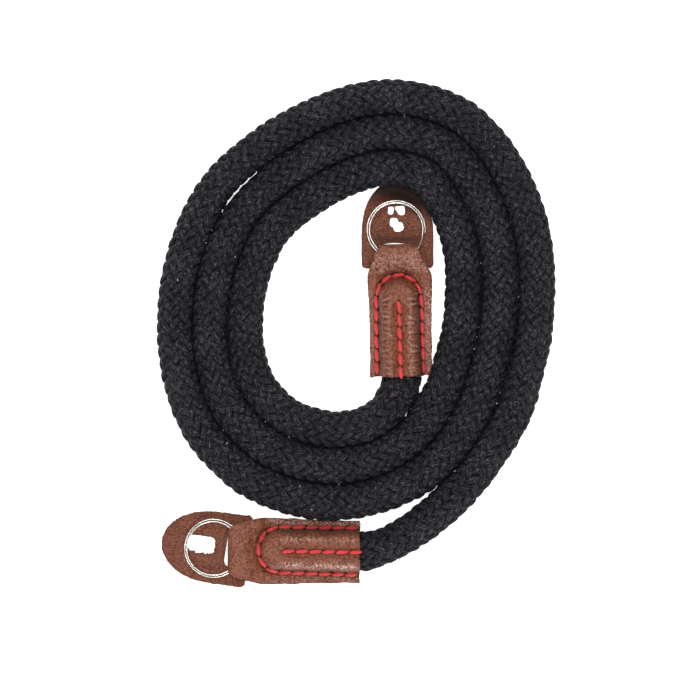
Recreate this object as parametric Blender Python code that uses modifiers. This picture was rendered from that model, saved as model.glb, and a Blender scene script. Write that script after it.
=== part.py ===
"""A round braided camera strap, coiled flat, with a leather end, a split ring and a lug pad at each end.

Metres, +Z up. Everything lies on the plane z = 0 and is laid out as it is seen from above, with +Y up.
Each end has a frame of its own: u runs from the leather's mouth out to its ring, v to the left of u.
"""

from math import atan, ceil, cos, floor, hypot, pi, radians, sin, sqrt

import bmesh
import bpy
import numpy as np
from mathutils import Matrix, Vector

MM = 0.001

# Gaps: between neighbouring pieces, and round the rope's sewn ends
GAP = 0.3 * MM
END_GAP = 0.9 * MM

# Rope: free, and where the leather is sewn tight over it
ROPE_DIAMETER = 10.2 * MM
ROPE_SEWN_WIDTH = 9.6 * MM
ROPE_SEWN_HEIGHT = 7.7 * MM
ROPE_SQUEEZE_LENGTH = 12.0 * MM
ROPE_SEWN_SQUARENESS = 0.12
ROPE_TIP_ROUNDNESS = 0.93
ROPE_SIDES = 12
ROPE_STATION_LENGTH = 9.0 * MM
ROPE_STATION_BEND = 22.0

# Coil: its middle turn is an uneven oval, and the other turns follow it inside and outside
COIL_CENTRE = (-0.01 * MM, 10.22 * MM)
COIL_RADIUS = 46.5 * MM
COIL_TURNS = 3
COIL_OUTLINE_STEP = 20
TURN_SPACING_STEP = 40

# The middle turn's radius as shares of COIL_RADIUS, one every COIL_OUTLINE_STEP degrees from +X to the left
COIL_OUTLINE = (
    0.924, 0.969, 1.047, 1.130, 1.093, 0.993, 0.933, 0.923, 0.911,
    0.930, 0.988, 1.068, 1.103, 1.084, 1.065, 1.039, 0.990, 0.939,
)

# The spacing of the turns' lanes as shares of ROPE_DIAMETER, one every TURN_SPACING_STEP degrees from +X
TURN_SPACING = (1.090, 1.060, 1.031, 1.028, 1.033, 1.028, 1.086, 1.063, 1.077)

# Each turn steps out to the next over this stretch, in degrees travelled since straight below the centre
STEP_FROM = 299.0
STEP_OVER = 70.0
STEP_SOFTNESS = 0.35

# The rope's way between the coil and each mouth: direction in degrees, and lane outside the middle turn
LEAD_IN = ((295.4, -1.690), (290.4, -1.485), (286.0, -1.347), (277.5, -1.190), (271.5, -1.093))
LEAD_OUT = ((325.0, 1.099), (318.5, 1.150), (309.0, 1.258), (299.3, 1.466), (289.8, 1.769), (278.5, 2.150))

# How deep in the sleeve the route's points lie, as shares of the rope's reach
SLEEVE_POINTS = (1.0, 0.66, 0.33, 0.1, -0.06)

# Leather ends: a strip folded over at the ring and sewn round the rope's end
LEATHER_THICKNESS = 1.0 * MM
SEAM_MARGIN = 2.65 * MM
SLEEVE_SIDE = 0.5 * MM
SLEEVE_DEPTH = 24.5 * MM
SLEEVE_NOSE = 6.0 * MM
NECK_LENGTH = 8.9 * MM
NECK_RISE = 3.6 * MM
FOLD_WIDTH = 11.1 * MM
FOLD_CORNER = 1.7 * MM
CENTRE_SEAM_LENGTH = 23.0 * MM
CENTRE_SEAM_DEPTH = 1.2 * MM
CENTRE_SEAM_HALF_WIDTH = 2.8 * MM
CENTRE_SEAM_FADE = 2.0 * MM

SLEEVE_WIDTH = ROPE_SEWN_WIDTH + 2 * (LEATHER_THICKNESS + GAP + SLEEVE_SIDE)
SLEEVE_HEIGHT = ROPE_SEWN_HEIGHT + 2 * (LEATHER_THICKNESS + GAP)
LEATHER_WIDTH = SLEEVE_WIDTH + 2 * SEAM_MARGIN
LEATHER_LENGTH = SLEEVE_DEPTH + SLEEVE_NOSE + NECK_LENGTH
CLOSED_HEIGHT = 2 * LEATHER_THICKNESS + GAP
ROPE_REACH = SLEEVE_DEPTH + SLEEVE_NOSE - LEATHER_THICKNESS - END_GAP

# The sleeve's hump over the rope: share of its half width, share of its height above the closed margin
SLEEVE_SECTION = (
    (0.00, 1.00),
    (0.50, 1.00),
    (0.70, 0.91),
    (0.85, 0.68),
    (0.95, 0.36),
    (1.00, 0.14),
    (1.06, 0.00),
)

# The neck's outline: share of its length from the seam to the fold, share of the way from fold to full width
NECK_OUTLINE = (
    (-0.90, 1.04),
    (-0.30, 1.06),
    (0.00, 0.99),
    (0.28, 0.80),
    (0.56, 0.55),
    (0.82, 0.33),
    (0.95, 0.14),
    (1.00, 0.00),
)

# Where the leather's mesh has its rows and columns, as shares of the stretch named
SLEEVE_ROWS = (0.0, 0.25, 0.5, 0.75, 0.89, 0.95, 1.0)
NOSE_ROWS = (0.25, 0.45, 0.62, 0.76, 0.88, 1.0, 1.07)
NECK_ROWS = (0.25, 0.5, 0.75, 1.0)
CORNER_STEPS = 3
UNDERSIDE_ROWS = (0.5, 0.0)
COLUMNS = (0.0, 0.13, 0.26, 0.39, 0.52, 0.62, 0.69, 0.75, 1.0)

# Split rings: two turns of wire, with a short step from the lower turn to the upper one
RING_DIAMETER = 17.8 * MM
RING_WIRE = 0.95 * MM
RING_TURN_GAP = 0.1 * MM
RING_STEP = 40.0
RING_POINT_EVERY = 15.0
RING_HEIGHT = 2 * RING_WIRE + RING_TURN_GAP

# Lug pads: a tongue that the leather's fold passes through, with its round tip on the ground
PAD_LENGTH = 26.4 * MM
PAD_WIDTH = 21.6 * MM
PAD_THICKNESS = 1.0 * MM
PAD_UNDER_NECK = 6.4 * MM
PAD_STRAIGHT = 0.35
PAD_ROUNDNESS = 2.35
PAD_CORNER = 1.3 * MM
SLIT_CORNER = 0.6 * MM
LUG_HOLE_LENGTH = 8.0 * MM
LUG_HOLE_WIDTH = 5.8 * MM
LUG_HOLE_CORNER = 2.3 * MM
LUG_HOLE_FROM_SLIT = 3.1 * MM

# The two ends: their mouth's direction and lane round the coil, and in degrees the heading of u,
# the turn of the pad about the fold and where round the ring its wire steps up
ENDS = {
    "outer": {"direction": 269.8, "lane": 2.332, "heading": 179.1, "pad_turn": -5.9, "ring_step_at": 150.0},
    "inner": {"direction": 305.7, "lane": -1.926, "heading": 91.3, "pad_turn": -1.0, "ring_step_at": -118.0},
}


def smooth_step(share):
    """Rises from 0 to 1 as share does, level at both ends."""
    share = min(max(share, 0.0), 1.0)
    return share * share * (3 - 2 * share)


def read_table(table, position):
    """The second column of a table at a position along its first."""
    return float(np.interp(position, [row[0] for row in table], [row[1] for row in table]))


def curve_through(points, steps):
    """A smooth curve through points, with steps points on each stretch between two of them."""
    points = np.asarray(points, float)
    before = 2 * points[0] - points[1]
    after = 2 * points[-1] - points[-2]
    padded = np.vstack([before, points, after])
    curve = []
    for p0, p1, p2, p3 in zip(padded, padded[1:], padded[2:], padded[3:]):
        for t in np.arange(steps) / steps:
            curve.append(
                0.5 * (2 * p1 + (p2 - p0) * t + (2 * p0 - 5 * p1 + 4 * p2 - p3) * t ** 2
                       + (3 * p1 - p0 - 3 * p2 + p3) * t ** 3)
            )
    curve.append(points[-1])
    return np.array(curve)


def middle_turn():
    """The middle turn's points and outward normals, one for each degree of direction."""
    rows = len(COIL_OUTLINE)
    outline = []
    for row in range(-2, rows + 3):
        angle = radians(row * COIL_OUTLINE_STEP)
        radius = COIL_RADIUS * COIL_OUTLINE[row % rows]
        outline.append((radius * cos(angle), radius * sin(angle)))
    curve = curve_through(outline, COIL_OUTLINE_STEP)
    first = 2 * COIL_OUTLINE_STEP
    points = curve[first:first + 360]
    along = curve[first + 1:first + 361] - curve[first - 1:first + 359]
    normals = np.column_stack([along[:, 1], -along[:, 0]])
    normals /= np.linalg.norm(normals, axis=1)[:, None]
    return points, normals


def lane_spacing():
    """The distance between neighbouring lanes, for each degree of direction."""
    rows = len(TURN_SPACING)
    table = [(row, ROPE_DIAMETER * TURN_SPACING[row % rows]) for row in range(-2, rows + 3)]
    first = 2 * TURN_SPACING_STEP
    return curve_through(table, TURN_SPACING_STEP)[first:first + 360, 1]


def coil_place(direction, lane):
    """The place in a direction from the coil's centre, a number of lanes outside the middle turn."""
    points, normals = middle_turn()
    lanes = points + normals * lane_spacing()[:, None] * lane
    low = floor(direction)
    share = direction - low
    return np.array(COIL_CENTRE) + (1 - share) * lanes[low % 360] + share * lanes[(low + 1) % 360]


def coil_lane(travel):
    """The lane that the rope is in after so many degrees round the coil."""
    steps = (travel - STEP_FROM) / 360
    share = min((steps - floor(steps)) * 360 / STEP_OVER, 1.0)
    stepped = share - STEP_SOFTNESS * sin(2 * pi * share) / (2 * pi)
    return floor(steps) + stepped - (COIL_TURNS - 1) / 2


def end_frame(end):
    """The matrix of an end's own frame, with u along its X and v along its Y."""
    x, y = coil_place(end["direction"], end["lane"])
    return Matrix.Translation((x, y, 0)) @ Matrix.Rotation(radians(end["heading"]), 4, "Z")


def in_sleeve(end, depths):
    """Places on an end's axis at the given depths inside its mouth."""
    frame = end_frame(end)
    return [(frame @ Vector((depth, 0, 0))).to_2d() for depth in depths]


def rope_route():
    """The rope's centre line from one end to the other, as points close together."""
    depths = [ROPE_REACH * share for share in SLEEVE_POINTS]
    last_travel = 360 * (COIL_TURNS - 1) + STEP_FROM
    points = in_sleeve(ENDS["inner"], depths)
    points += [coil_place(*row) for row in LEAD_IN]
    for travel in np.arange(10, last_travel + 1, 10):
        points.append(coil_place(270 - travel, coil_lane(travel)))
    points += [coil_place(*row) for row in LEAD_OUT]
    points += in_sleeve(ENDS["outer"], reversed(depths))
    return curve_through(points, 8)


def spread_stations(route):
    """Stations along the route, closer together where it bends, and the distance travelled to each."""
    legs = np.diff(route, axis=0)
    lengths = np.linalg.norm(legs, axis=1)
    distance = np.concatenate([[0], np.cumsum(lengths)])
    heading = np.unwrap(np.arctan2(legs[:, 1], legs[:, 0]))
    bend = np.concatenate([[0], np.abs(np.diff(heading)), [0]])
    wanted = distance / ROPE_STATION_LENGTH + np.cumsum(bend) / radians(ROPE_STATION_BEND)
    places = np.linspace(0, wanted[-1], ceil(wanted[-1]) + 1)
    travelled = np.interp(places, wanted, distance)
    stations = np.column_stack([np.interp(travelled, distance, route[:, axis]) for axis in (0, 1)])
    return stations, travelled


def rope_section(depth):
    """A section's points across and up: depth is its distance inside the mouth, negative outside it."""
    squeeze = smooth_step(1 + (depth + END_GAP) / ROPE_SQUEEZE_LENGTH)
    half_width = (ROPE_DIAMETER + (ROPE_SEWN_WIDTH - ROPE_DIAMETER) * squeeze) / 2
    half_height = (ROPE_DIAMETER + (ROPE_SEWN_HEIGHT - ROPE_DIAMETER) * squeeze) / 2
    floor_height = (LEATHER_THICKNESS + GAP) * squeeze
    square = 1 - ROPE_SEWN_SQUARENESS * squeeze
    taper_from = SLEEVE_DEPTH - GAP
    taper_share = max((depth - taper_from) / (ROPE_REACH - taper_from), 0)
    taper = sqrt(1 - min(taper_share * ROPE_TIP_ROUNDNESS, 1) ** 2)
    groove = (CENTRE_SEAM_DEPTH + GAP) * squeeze * smooth_step((CENTRE_SEAM_LENGTH - depth) / CENTRE_SEAM_FADE)
    section = []
    for side in range(ROPE_SIDES):
        angle = 2 * pi * side / ROPE_SIDES
        across = half_width * taper * np.sign(cos(angle)) * abs(cos(angle)) ** square
        up = half_height * taper * (1 + np.sign(sin(angle)) * abs(sin(angle)) ** square)
        if side == ROPE_SIDES // 4:
            up -= groove
        section.append((across, floor_height + up))
    return section


def loft(name, rings, material):
    """A closed solid through rings of points, which all have the same number of points."""
    mesh = bmesh.new()
    rows = [[mesh.verts.new(point) for point in ring] for ring in rings]
    for row, following in zip(rows, rows[1:]):
        for side in range(len(row)):
            after = (side + 1) % len(row)
            mesh.faces.new((row[side], row[after], following[after], following[side]))
    mesh.faces.new(reversed(rows[0]))
    mesh.faces.new(rows[-1])
    bmesh.ops.recalc_face_normals(mesh, faces=mesh.faces)
    return add_mesh(name, mesh, material)


def add_mesh(name, mesh, material):
    """An object made from a bmesh, smooth but for its sharp edges."""
    data = bpy.data.meshes.new(name)
    mesh.to_mesh(data)
    mesh.free()
    data.shade_smooth()
    data.set_sharp_from_angle(angle=radians(40))
    data.materials.append(material)
    return add_object(name, data)


def add_object(name, data):
    """An object with the given data, in the strap's collection."""
    item = bpy.data.objects.new(name, data)
    bpy.data.collections["camera_strap"].objects.link(item)
    return item


def make_rope(material):
    """The rope, round in the coil and pressed flatter inside the leather ends."""
    stations, travelled = spread_stations(rope_route())
    along = np.gradient(stations, axis=0)
    along /= np.linalg.norm(along, axis=1)[:, None]
    rings = []
    for station, (ahead_x, ahead_y), distance in zip(stations, along, travelled):
        depth = ROPE_REACH - min(distance, travelled[-1] - distance)
        ring = []
        for across, up in rope_section(depth):
            ring.append((station[0] - ahead_y * across, station[1] + ahead_x * across, up))
        rings.append(ring)
    return loft("rope", rings, material)


def neck_height():
    """The leather's height where it passes over the ring and the pad."""
    pad_top = PAD_LENGTH * pad_slope(0.0) + PAD_THICKNESS
    return pad_top + RING_HEIGHT + LEATHER_THICKNESS + 2 * GAP


def half_width_at(u):
    """Half the leather's width at a distance from its mouth."""
    share = (u - SLEEVE_DEPTH - SLEEVE_NOSE) / NECK_LENGTH
    widening = read_table(NECK_OUTLINE, share)
    fade = smooth_step(u / SLEEVE_DEPTH)
    widening = 1 + (widening - 1) * fade
    return (FOLD_WIDTH + (LEATHER_WIDTH - FOLD_WIDTH) * widening) / 2


def leather_top(u, v):
    """The height of the leather's upper face: a hump over the rope, then the neck over the ring."""
    past_sleeve = max(u - SLEEVE_DEPTH, 0) / SLEEVE_NOSE
    reach = hypot(v / (SLEEVE_WIDTH / 2), past_sleeve)
    hump = (SLEEVE_HEIGHT - CLOSED_HEIGHT) * read_table(SLEEVE_SECTION, reach)
    seam_share = smooth_step((CENTRE_SEAM_LENGTH - u) / CENTRE_SEAM_FADE)
    valley = max(1 - (v / CENTRE_SEAM_HALF_WIDTH) ** 2, 0) ** 2
    hump -= CENTRE_SEAM_DEPTH * seam_share * valley
    sewn_until = SLEEVE_DEPTH + SLEEVE_NOSE * sqrt(max(1 - (v / (SLEEVE_WIDTH / 2)) ** 2, 0)) + GAP
    risen_at = SLEEVE_DEPTH + SLEEVE_NOSE + GAP + NECK_RISE
    rise = smooth_step((u - sewn_until) / (risen_at - sewn_until))
    return CLOSED_HEIGHT + hump + (neck_height() - CLOSED_HEIGHT) * rise


def leather_rows():
    """The strip's rows from its upper mouth edge, over the fold and back: distance, and height if set."""
    seam_end = SLEEVE_DEPTH + SLEEVE_NOSE
    corner_from = LEATHER_LENGTH - FOLD_CORNER
    rows = [(SLEEVE_DEPTH * share, None) for share in SLEEVE_ROWS]
    rows += [(SLEEVE_DEPTH + SLEEVE_NOSE * share, None) for share in NOSE_ROWS]
    rows += [(seam_end + GAP + NECK_RISE * share, None) for share in NECK_ROWS]
    for centre_height, first_angle in ((neck_height() - FOLD_CORNER, 90), (FOLD_CORNER, 0)):
        for step in range(CORNER_STEPS + 1):
            angle = radians(first_angle - 90 * step / CORNER_STEPS)
            rows.append((corner_from + FOLD_CORNER * cos(angle), centre_height + FOLD_CORNER * sin(angle)))
    rows += [(SLEEVE_DEPTH * share, 0.0) for share in UNDERSIDE_ROWS]
    return rows


def make_leather_end(name, material):
    """A leather end: an open sheet along the strip's outer face, thickened inwards."""
    columns = [-share for share in reversed(COLUMNS[1:])] + list(COLUMNS)
    mesh = bmesh.new()
    rows = []
    for u, height in leather_rows():
        row = []
        for share in columns:
            v = half_width_at(u) * share
            z = leather_top(u, v) if height is None else height
            row.append(mesh.verts.new((u, v, z)))
        rows.append(row)
    for row, following in zip(rows, rows[1:]):
        for column in range(len(columns) - 1):
            mesh.faces.new((row[column], following[column], following[column + 1], row[column + 1]))
    item = add_mesh(name, mesh, material)
    wall = item.modifiers.new("leather_thickness", "SOLIDIFY")
    wall.thickness = LEATHER_THICKNESS
    wall.offset = -1
    wall.use_even_offset = True
    return item


def ring_centre():
    """The ring's distance from the leather's mouth, drawn out until its wire meets the fold's sides."""
    clear_radius = RING_DIAMETER / 2 - RING_WIRE - GAP
    fold_face = LEATHER_LENGTH - LEATHER_THICKNESS
    return fold_face + sqrt(clear_radius ** 2 - (FOLD_WIDTH / 2) ** 2)


def make_split_ring(name, material):
    """A split ring about its own centre, with the step between its turns in the direction of +X."""
    radius = (RING_DIAMETER - RING_WIRE) / 2
    lift = RING_WIRE + RING_TURN_GAP
    first = RING_STEP / 2
    last = 720 - RING_STEP / 2
    points = []
    for angle in np.linspace(first, last, round((last - first) / RING_POINT_EVERY) + 1):
        height = lift * smooth_step((angle - 360 + RING_STEP / 2) / RING_STEP)
        points.append((radius * cos(radians(angle)), radius * sin(radians(angle)), height))
    curve = bpy.data.curves.new(name, "CURVE")
    curve.dimensions = "3D"
    curve.bevel_depth = RING_WIRE / 2
    curve.bevel_resolution = 1
    curve.use_fill_caps = True
    add_spline(curve, points, closed=False)
    curve.materials.append(material)
    return add_object(name, curve)


def add_spline(curve, points, closed):
    """A spline of straight legs through points."""
    spline = curve.splines.new("POLY")
    spline.points.add(len(points) - 1)
    for place, point in zip(spline.points, points):
        place.co = (*point, 1)
    spline.use_cyclic_u = closed


def slit_edges(pad_turn):
    """Where the slit begins and ends along the pad, clear of the fold however far the pad is turned."""
    swing = FOLD_WIDTH / 2 * abs(sin(radians(pad_turn)))
    near = PAD_UNDER_NECK - FOLD_CORNER - swing
    far = PAD_UNDER_NECK + GAP + swing
    return near, far


def pad_slope(pad_turn):
    """The pad's slope: it lies on the lower leather at its slit, and its tip touches the ground."""
    near, _ = slit_edges(pad_turn)
    return (LEATHER_THICKNESS + GAP) / (PAD_LENGTH - near)


def pad_half_width(x):
    """Half the pad's width at a distance from its straight end."""
    share = (x / PAD_LENGTH - PAD_STRAIGHT) / (1 - PAD_STRAIGHT)
    tip = sqrt(max(1 - max(share, 0) ** PAD_ROUNDNESS, 0))
    square = max(PAD_CORNER - x, 0) / PAD_CORNER
    corner = PAD_CORNER * (1 - sqrt(1 - square ** 2))
    return PAD_WIDTH / 2 * tip - corner


def pad_outline():
    """The tongue's outline: round corners at the straight end, and a round tip."""
    corner = [PAD_CORNER * (1 - cos(radians(angle))) for angle in (0, 45, 90)]
    straight_end = PAD_LENGTH * PAD_STRAIGHT
    tip_length = PAD_LENGTH - straight_end
    tip = [straight_end + tip_length * sin(radians(angle)) for angle in (0, 25, 42, 54, 64, 72, 79, 85)]
    one_side = [(x, pad_half_width(x)) for x in corner + tip]
    other_side = [(x, -y) for x, y in reversed(one_side)]
    return one_side + [(PAD_LENGTH, 0)] + other_side


def rounded_slot(first, last, half_width, corner):
    """A slot from first to last along X, with its corners rounded."""
    points = []
    for centre_x, centre_y, start in (
        (last - corner, half_width - corner, 0),
        (first + corner, half_width - corner, 90),
        (first + corner, corner - half_width, 180),
        (last - corner, corner - half_width, 270),
    ):
        for angle in (start, start + 45, start + 90):
            points.append((centre_x + corner * cos(radians(angle)), centre_y + corner * sin(radians(angle))))
    return points


def make_lug_pad(name, pad_turn, material):
    """A lug pad flat on its own plane, its straight end at X = 0, with its slit and its lug hole."""
    near, far = slit_edges(pad_turn)
    hole_from = far + LUG_HOLE_FROM_SLIT
    slit_half_width = half_width_at(LEATHER_LENGTH - FOLD_CORNER) + GAP
    curve = bpy.data.curves.new(name, "CURVE")
    curve.dimensions = "2D"
    curve.fill_mode = "BOTH"
    curve.extrude = PAD_THICKNESS / 2
    loops = (
        pad_outline(),
        rounded_slot(near, far, slit_half_width, SLIT_CORNER),
        rounded_slot(hole_from, hole_from + LUG_HOLE_LENGTH, LUG_HOLE_WIDTH / 2, LUG_HOLE_CORNER),
    )
    for loop in loops:
        add_spline(curve, [(x, y, 0) for x, y in loop], closed=True)
    curve.materials.append(material)
    return add_object(name, curve)


def make_end(side, end, materials):
    """One end of the strap: its leather, ring and pad, carried by an empty in the end's own frame."""
    frame = add_object(f"end_{side}_frame", None)
    frame.matrix_world = end_frame(end)
    slope = pad_slope(end["pad_turn"])
    tilt = Matrix.Rotation(atan(slope), 4, "Y")
    fold_height = slope * (PAD_LENGTH - PAD_UNDER_NECK)
    on_slope = Matrix.Translation((LEATHER_LENGTH, 0, fold_height)) @ tilt

    leather = make_leather_end(f"leather_end_{side}", materials["leather"])
    pad = make_lug_pad(f"lug_pad_{side}", end["pad_turn"], materials["suede"])
    pad_turn = Matrix.Rotation(radians(end["pad_turn"]), 4, "Z")
    pad.matrix_local = on_slope @ pad_turn @ Matrix.Translation((-PAD_UNDER_NECK, 0, PAD_THICKNESS / 2))
    ring = make_split_ring(f"split_ring_{side}", materials["steel"])
    ring_place = Vector((ring_centre() - LEATHER_LENGTH, 0, PAD_THICKNESS + GAP + RING_WIRE / 2))
    ring_turn = Matrix.Rotation(radians(end["ring_step_at"]), 4, "Z")
    ring.matrix_local = on_slope @ Matrix.Translation(ring_place) @ ring_turn
    for item in (leather, pad, ring):
        item.parent = frame


def make_material(name, colour, roughness, metallic=0.0):
    """A plain surface of one colour."""
    material = bpy.data.materials.new(name)
    material.use_nodes = True
    shader = material.node_tree.nodes["Principled BSDF"]
    shader.inputs["Base Color"].default_value = (*colour, 1)
    shader.inputs["Roughness"].default_value = roughness
    shader.inputs["Metallic"].default_value = metallic
    return material


def main():
    for item in list(bpy.data.objects):
        bpy.data.objects.remove(item)
    collection = bpy.data.collections.new("camera_strap")
    bpy.context.scene.collection.children.link(collection)
    materials = {
        "rope": make_material("black_braid", (0.016, 0.015, 0.019), 0.85),
        "leather": make_material("brown_leather", (0.18, 0.066, 0.038), 0.55),
        "suede": make_material("brown_suede", (0.135, 0.042, 0.025), 0.95),
        "steel": make_material("bright_steel", (0.72, 0.71, 0.69), 0.2, metallic=1.0),
    }
    make_rope(materials["rope"])
    for side, end in ENDS.items():
        make_end(side, end, materials)


main()
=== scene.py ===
"""A round braided camera strap, coiled flat and seen from straight above, dressed over its CAD frame.

Metres, +Z up, everything on the floor at z = 0. Each end has a frame of its own: u runs from the leather's
mouth out to its ring, v to the left of u.
"""

from math import atan, cos, floor, pi, radians, sin, sqrt

import bpy
import numpy as np
from mathutils import Matrix, Vector


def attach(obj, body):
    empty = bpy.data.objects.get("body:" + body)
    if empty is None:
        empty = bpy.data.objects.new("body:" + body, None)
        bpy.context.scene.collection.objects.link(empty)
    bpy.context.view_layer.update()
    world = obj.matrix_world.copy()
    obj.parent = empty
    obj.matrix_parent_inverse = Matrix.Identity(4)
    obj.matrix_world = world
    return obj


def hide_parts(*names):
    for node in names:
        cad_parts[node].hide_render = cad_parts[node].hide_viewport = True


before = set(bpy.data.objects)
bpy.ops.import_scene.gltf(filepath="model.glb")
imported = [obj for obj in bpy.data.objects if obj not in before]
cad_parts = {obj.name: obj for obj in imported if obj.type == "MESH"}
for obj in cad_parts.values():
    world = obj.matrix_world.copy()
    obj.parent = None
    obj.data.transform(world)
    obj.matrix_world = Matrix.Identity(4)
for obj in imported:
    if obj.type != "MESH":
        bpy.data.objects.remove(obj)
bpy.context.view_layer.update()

MM = 0.001
GAP = 0.3 * MM

# The rope's route, with the same values as in the CAD
COIL_CENTRE = (-0.01 * MM, 10.22 * MM)
COIL_RADIUS = 46.5 * MM
COIL_TURNS = 3
ROPE_DIAMETER = 10.2 * MM
COIL_OUTLINE_STEP = 20
COIL_OUTLINE = (
    0.924, 0.969, 1.047, 1.130, 1.093, 0.993, 0.933, 0.923, 0.911,
    0.930, 0.988, 1.068, 1.103, 1.084, 1.065, 1.039, 0.990, 0.939,
)
TURN_SPACING_STEP = 40
TURN_SPACING = (1.090, 1.060, 1.031, 1.028, 1.033, 1.028, 1.086, 1.063, 1.077)
STEP_FROM = 299.0
STEP_OVER = 70.0
STEP_SOFTNESS = 0.35
LEAD_IN = ((295.4, -1.690), (290.4, -1.485), (286.0, -1.347), (277.5, -1.190), (271.5, -1.093))
LEAD_OUT = ((325.0, 1.099), (318.5, 1.150), (309.0, 1.258), (299.3, 1.466), (289.8, 1.769), (278.5, 2.150))
SLEEVE_POINTS = (1.0, 0.66, 0.33, 0.1, -0.06)

# Leather ends, with the same values as in the CAD; the sleeve's section only has one more row, past its foot
LEATHER_THICKNESS = 1.0 * MM
SLEEVE_DEPTH = 24.5 * MM
SLEEVE_NOSE = 6.0 * MM
NECK_LENGTH = 8.9 * MM
NECK_RISE = 3.6 * MM
FOLD_WIDTH = 11.1 * MM
FOLD_CORNER = 1.7 * MM
SLEEVE_WIDTH = 13.2 * MM
SLEEVE_HEIGHT = 10.3 * MM
LEATHER_WIDTH = 18.5 * MM
LEATHER_LENGTH = SLEEVE_DEPTH + SLEEVE_NOSE + NECK_LENGTH
CLOSED_HEIGHT = 2 * LEATHER_THICKNESS + GAP
CENTRE_SEAM_LENGTH = 23.0 * MM
CENTRE_SEAM_DEPTH = 1.2 * MM
CENTRE_SEAM_HALF_WIDTH = 2.8 * MM
SLEEVE_SECTION = (
    (0.00, 1.00), (0.50, 1.00), (0.70, 0.91), (0.85, 0.68),
    (0.95, 0.36), (1.00, 0.14), (1.06, 0.00), (1.20, 0.00),
)
NECK_OUTLINE = (
    (-0.90, 1.04), (-0.30, 1.06), (0.00, 0.99), (0.28, 0.80),
    (0.56, 0.55), (0.82, 0.33), (0.95, 0.14), (1.00, 0.00),
)
ROPE_REACH = SLEEVE_DEPTH + SLEEVE_NOSE - LEATHER_THICKNESS - 3 * GAP

# The leather's rise to the neck: how far before the sleeve's end it starts, and its share on top of the hump
VALLEY_FILL = 2.8 * MM
RISE_ON_HUMP = 0.4

# Rings and lug pads, with the same values as in the CAD
RING_DIAMETER = 17.8 * MM
RING_WIRE = 0.95 * MM
RING_TURN_GAP = 0.1 * MM
RING_HEIGHT = 2 * RING_WIRE + RING_TURN_GAP
RING_STEP = 40.0
PAD_LENGTH = 26.4 * MM
PAD_WIDTH = 21.6 * MM
PAD_THICKNESS = 1.0 * MM
PAD_UNDER_NECK = 6.4 * MM
PAD_STRAIGHT = 0.35
PAD_ROUNDNESS = 2.35
PAD_CORNER = 1.3 * MM
LUG_HOLE_LENGTH = 8.0 * MM
LUG_HOLE_FROM_SLIT = 3.1 * MM

# The rings' wire as it looks from above: a flat section, two turns side by side, one of them over the other
RING_WIRE_WIDTH = 0.48 * MM
RING_TURNS_APART = 0.66 * MM
RING_DRAWN_IN = 0.1 * MM
RING_LIFT = RING_WIRE + 0.06 * MM
RING_SIDES = 16

# Lug pads: the grid they are cut from, their edge, the painted shadow of the rope on the inner one, and their
# holes
PAD_GRID = 0.3 * MM
PAD_BORDER = 1.2 * MM
PAD_EDGE_ROUNDING = 0.32 * MM
PAINTED_SHADOW_FROM = 0.60 * PAD_LENGTH
PAINTED_SHADOW_OVER = 0.25 * PAD_LENGTH
PAINTED_SHADOW_LEAN = 0.35
OUTER_HOLE_SIDES = (-3.0 * MM, 1.95 * MM)
OUTER_HOLE_CORNER = 1.5 * MM
# How far the outer pad's slit opens past the fold, in mm: the places across it, then the openings there
OUTER_SLIT_OPENING = ((-4.0, 3.4, 4.4, 5.0), (0.0, 1.0, 0.8, 0.0))
# The inner pad's torn lug hole: middle along and across the pad, half sizes, lean and corner radius in mm,
# and whether its left side is cut off aslant
INNER_HOLES = (
    (17.35, 1.95, 1.20, 0.85, 0.12, 0.12, False),
    (17.30, -0.70, 1.42, 1.55, -0.05, 0.75, True),
    (13.75, 1.05, 1.40, 1.25, 0.10, 0.9, False),
    (12.45, -0.30, 1.45, 1.60, -0.15, 1.3, False),
)

# How much wider each end's leather is than the CAD's, in mm: distance from the mouth, then left and right
TRIMS = {
    "outer": (
        (0.0, 0.00, -0.15), (8.0, 0.10, -0.10), (16.0, 0.30, 0.00), (23.6, 0.55, 0.15), (31.0, 0.65, 0.20),
        (34.1, 0.95, 0.45), (36.5, 1.15, 0.45), (38.2, 0.95, 0.25), (39.4, 0.50, 0.10),
    ),
    "inner": (
        (0.0, -0.05, 0.40), (8.0, -0.35, 0.32), (15.0, -0.50, 0.32), (24.0, -0.45, 0.50), (30.4, 0.00, 0.80),
        (33.5, 0.05, 0.20), (36.5, -0.05, -0.50), (39.4, -0.20, -0.50),
    ),
}
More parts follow.
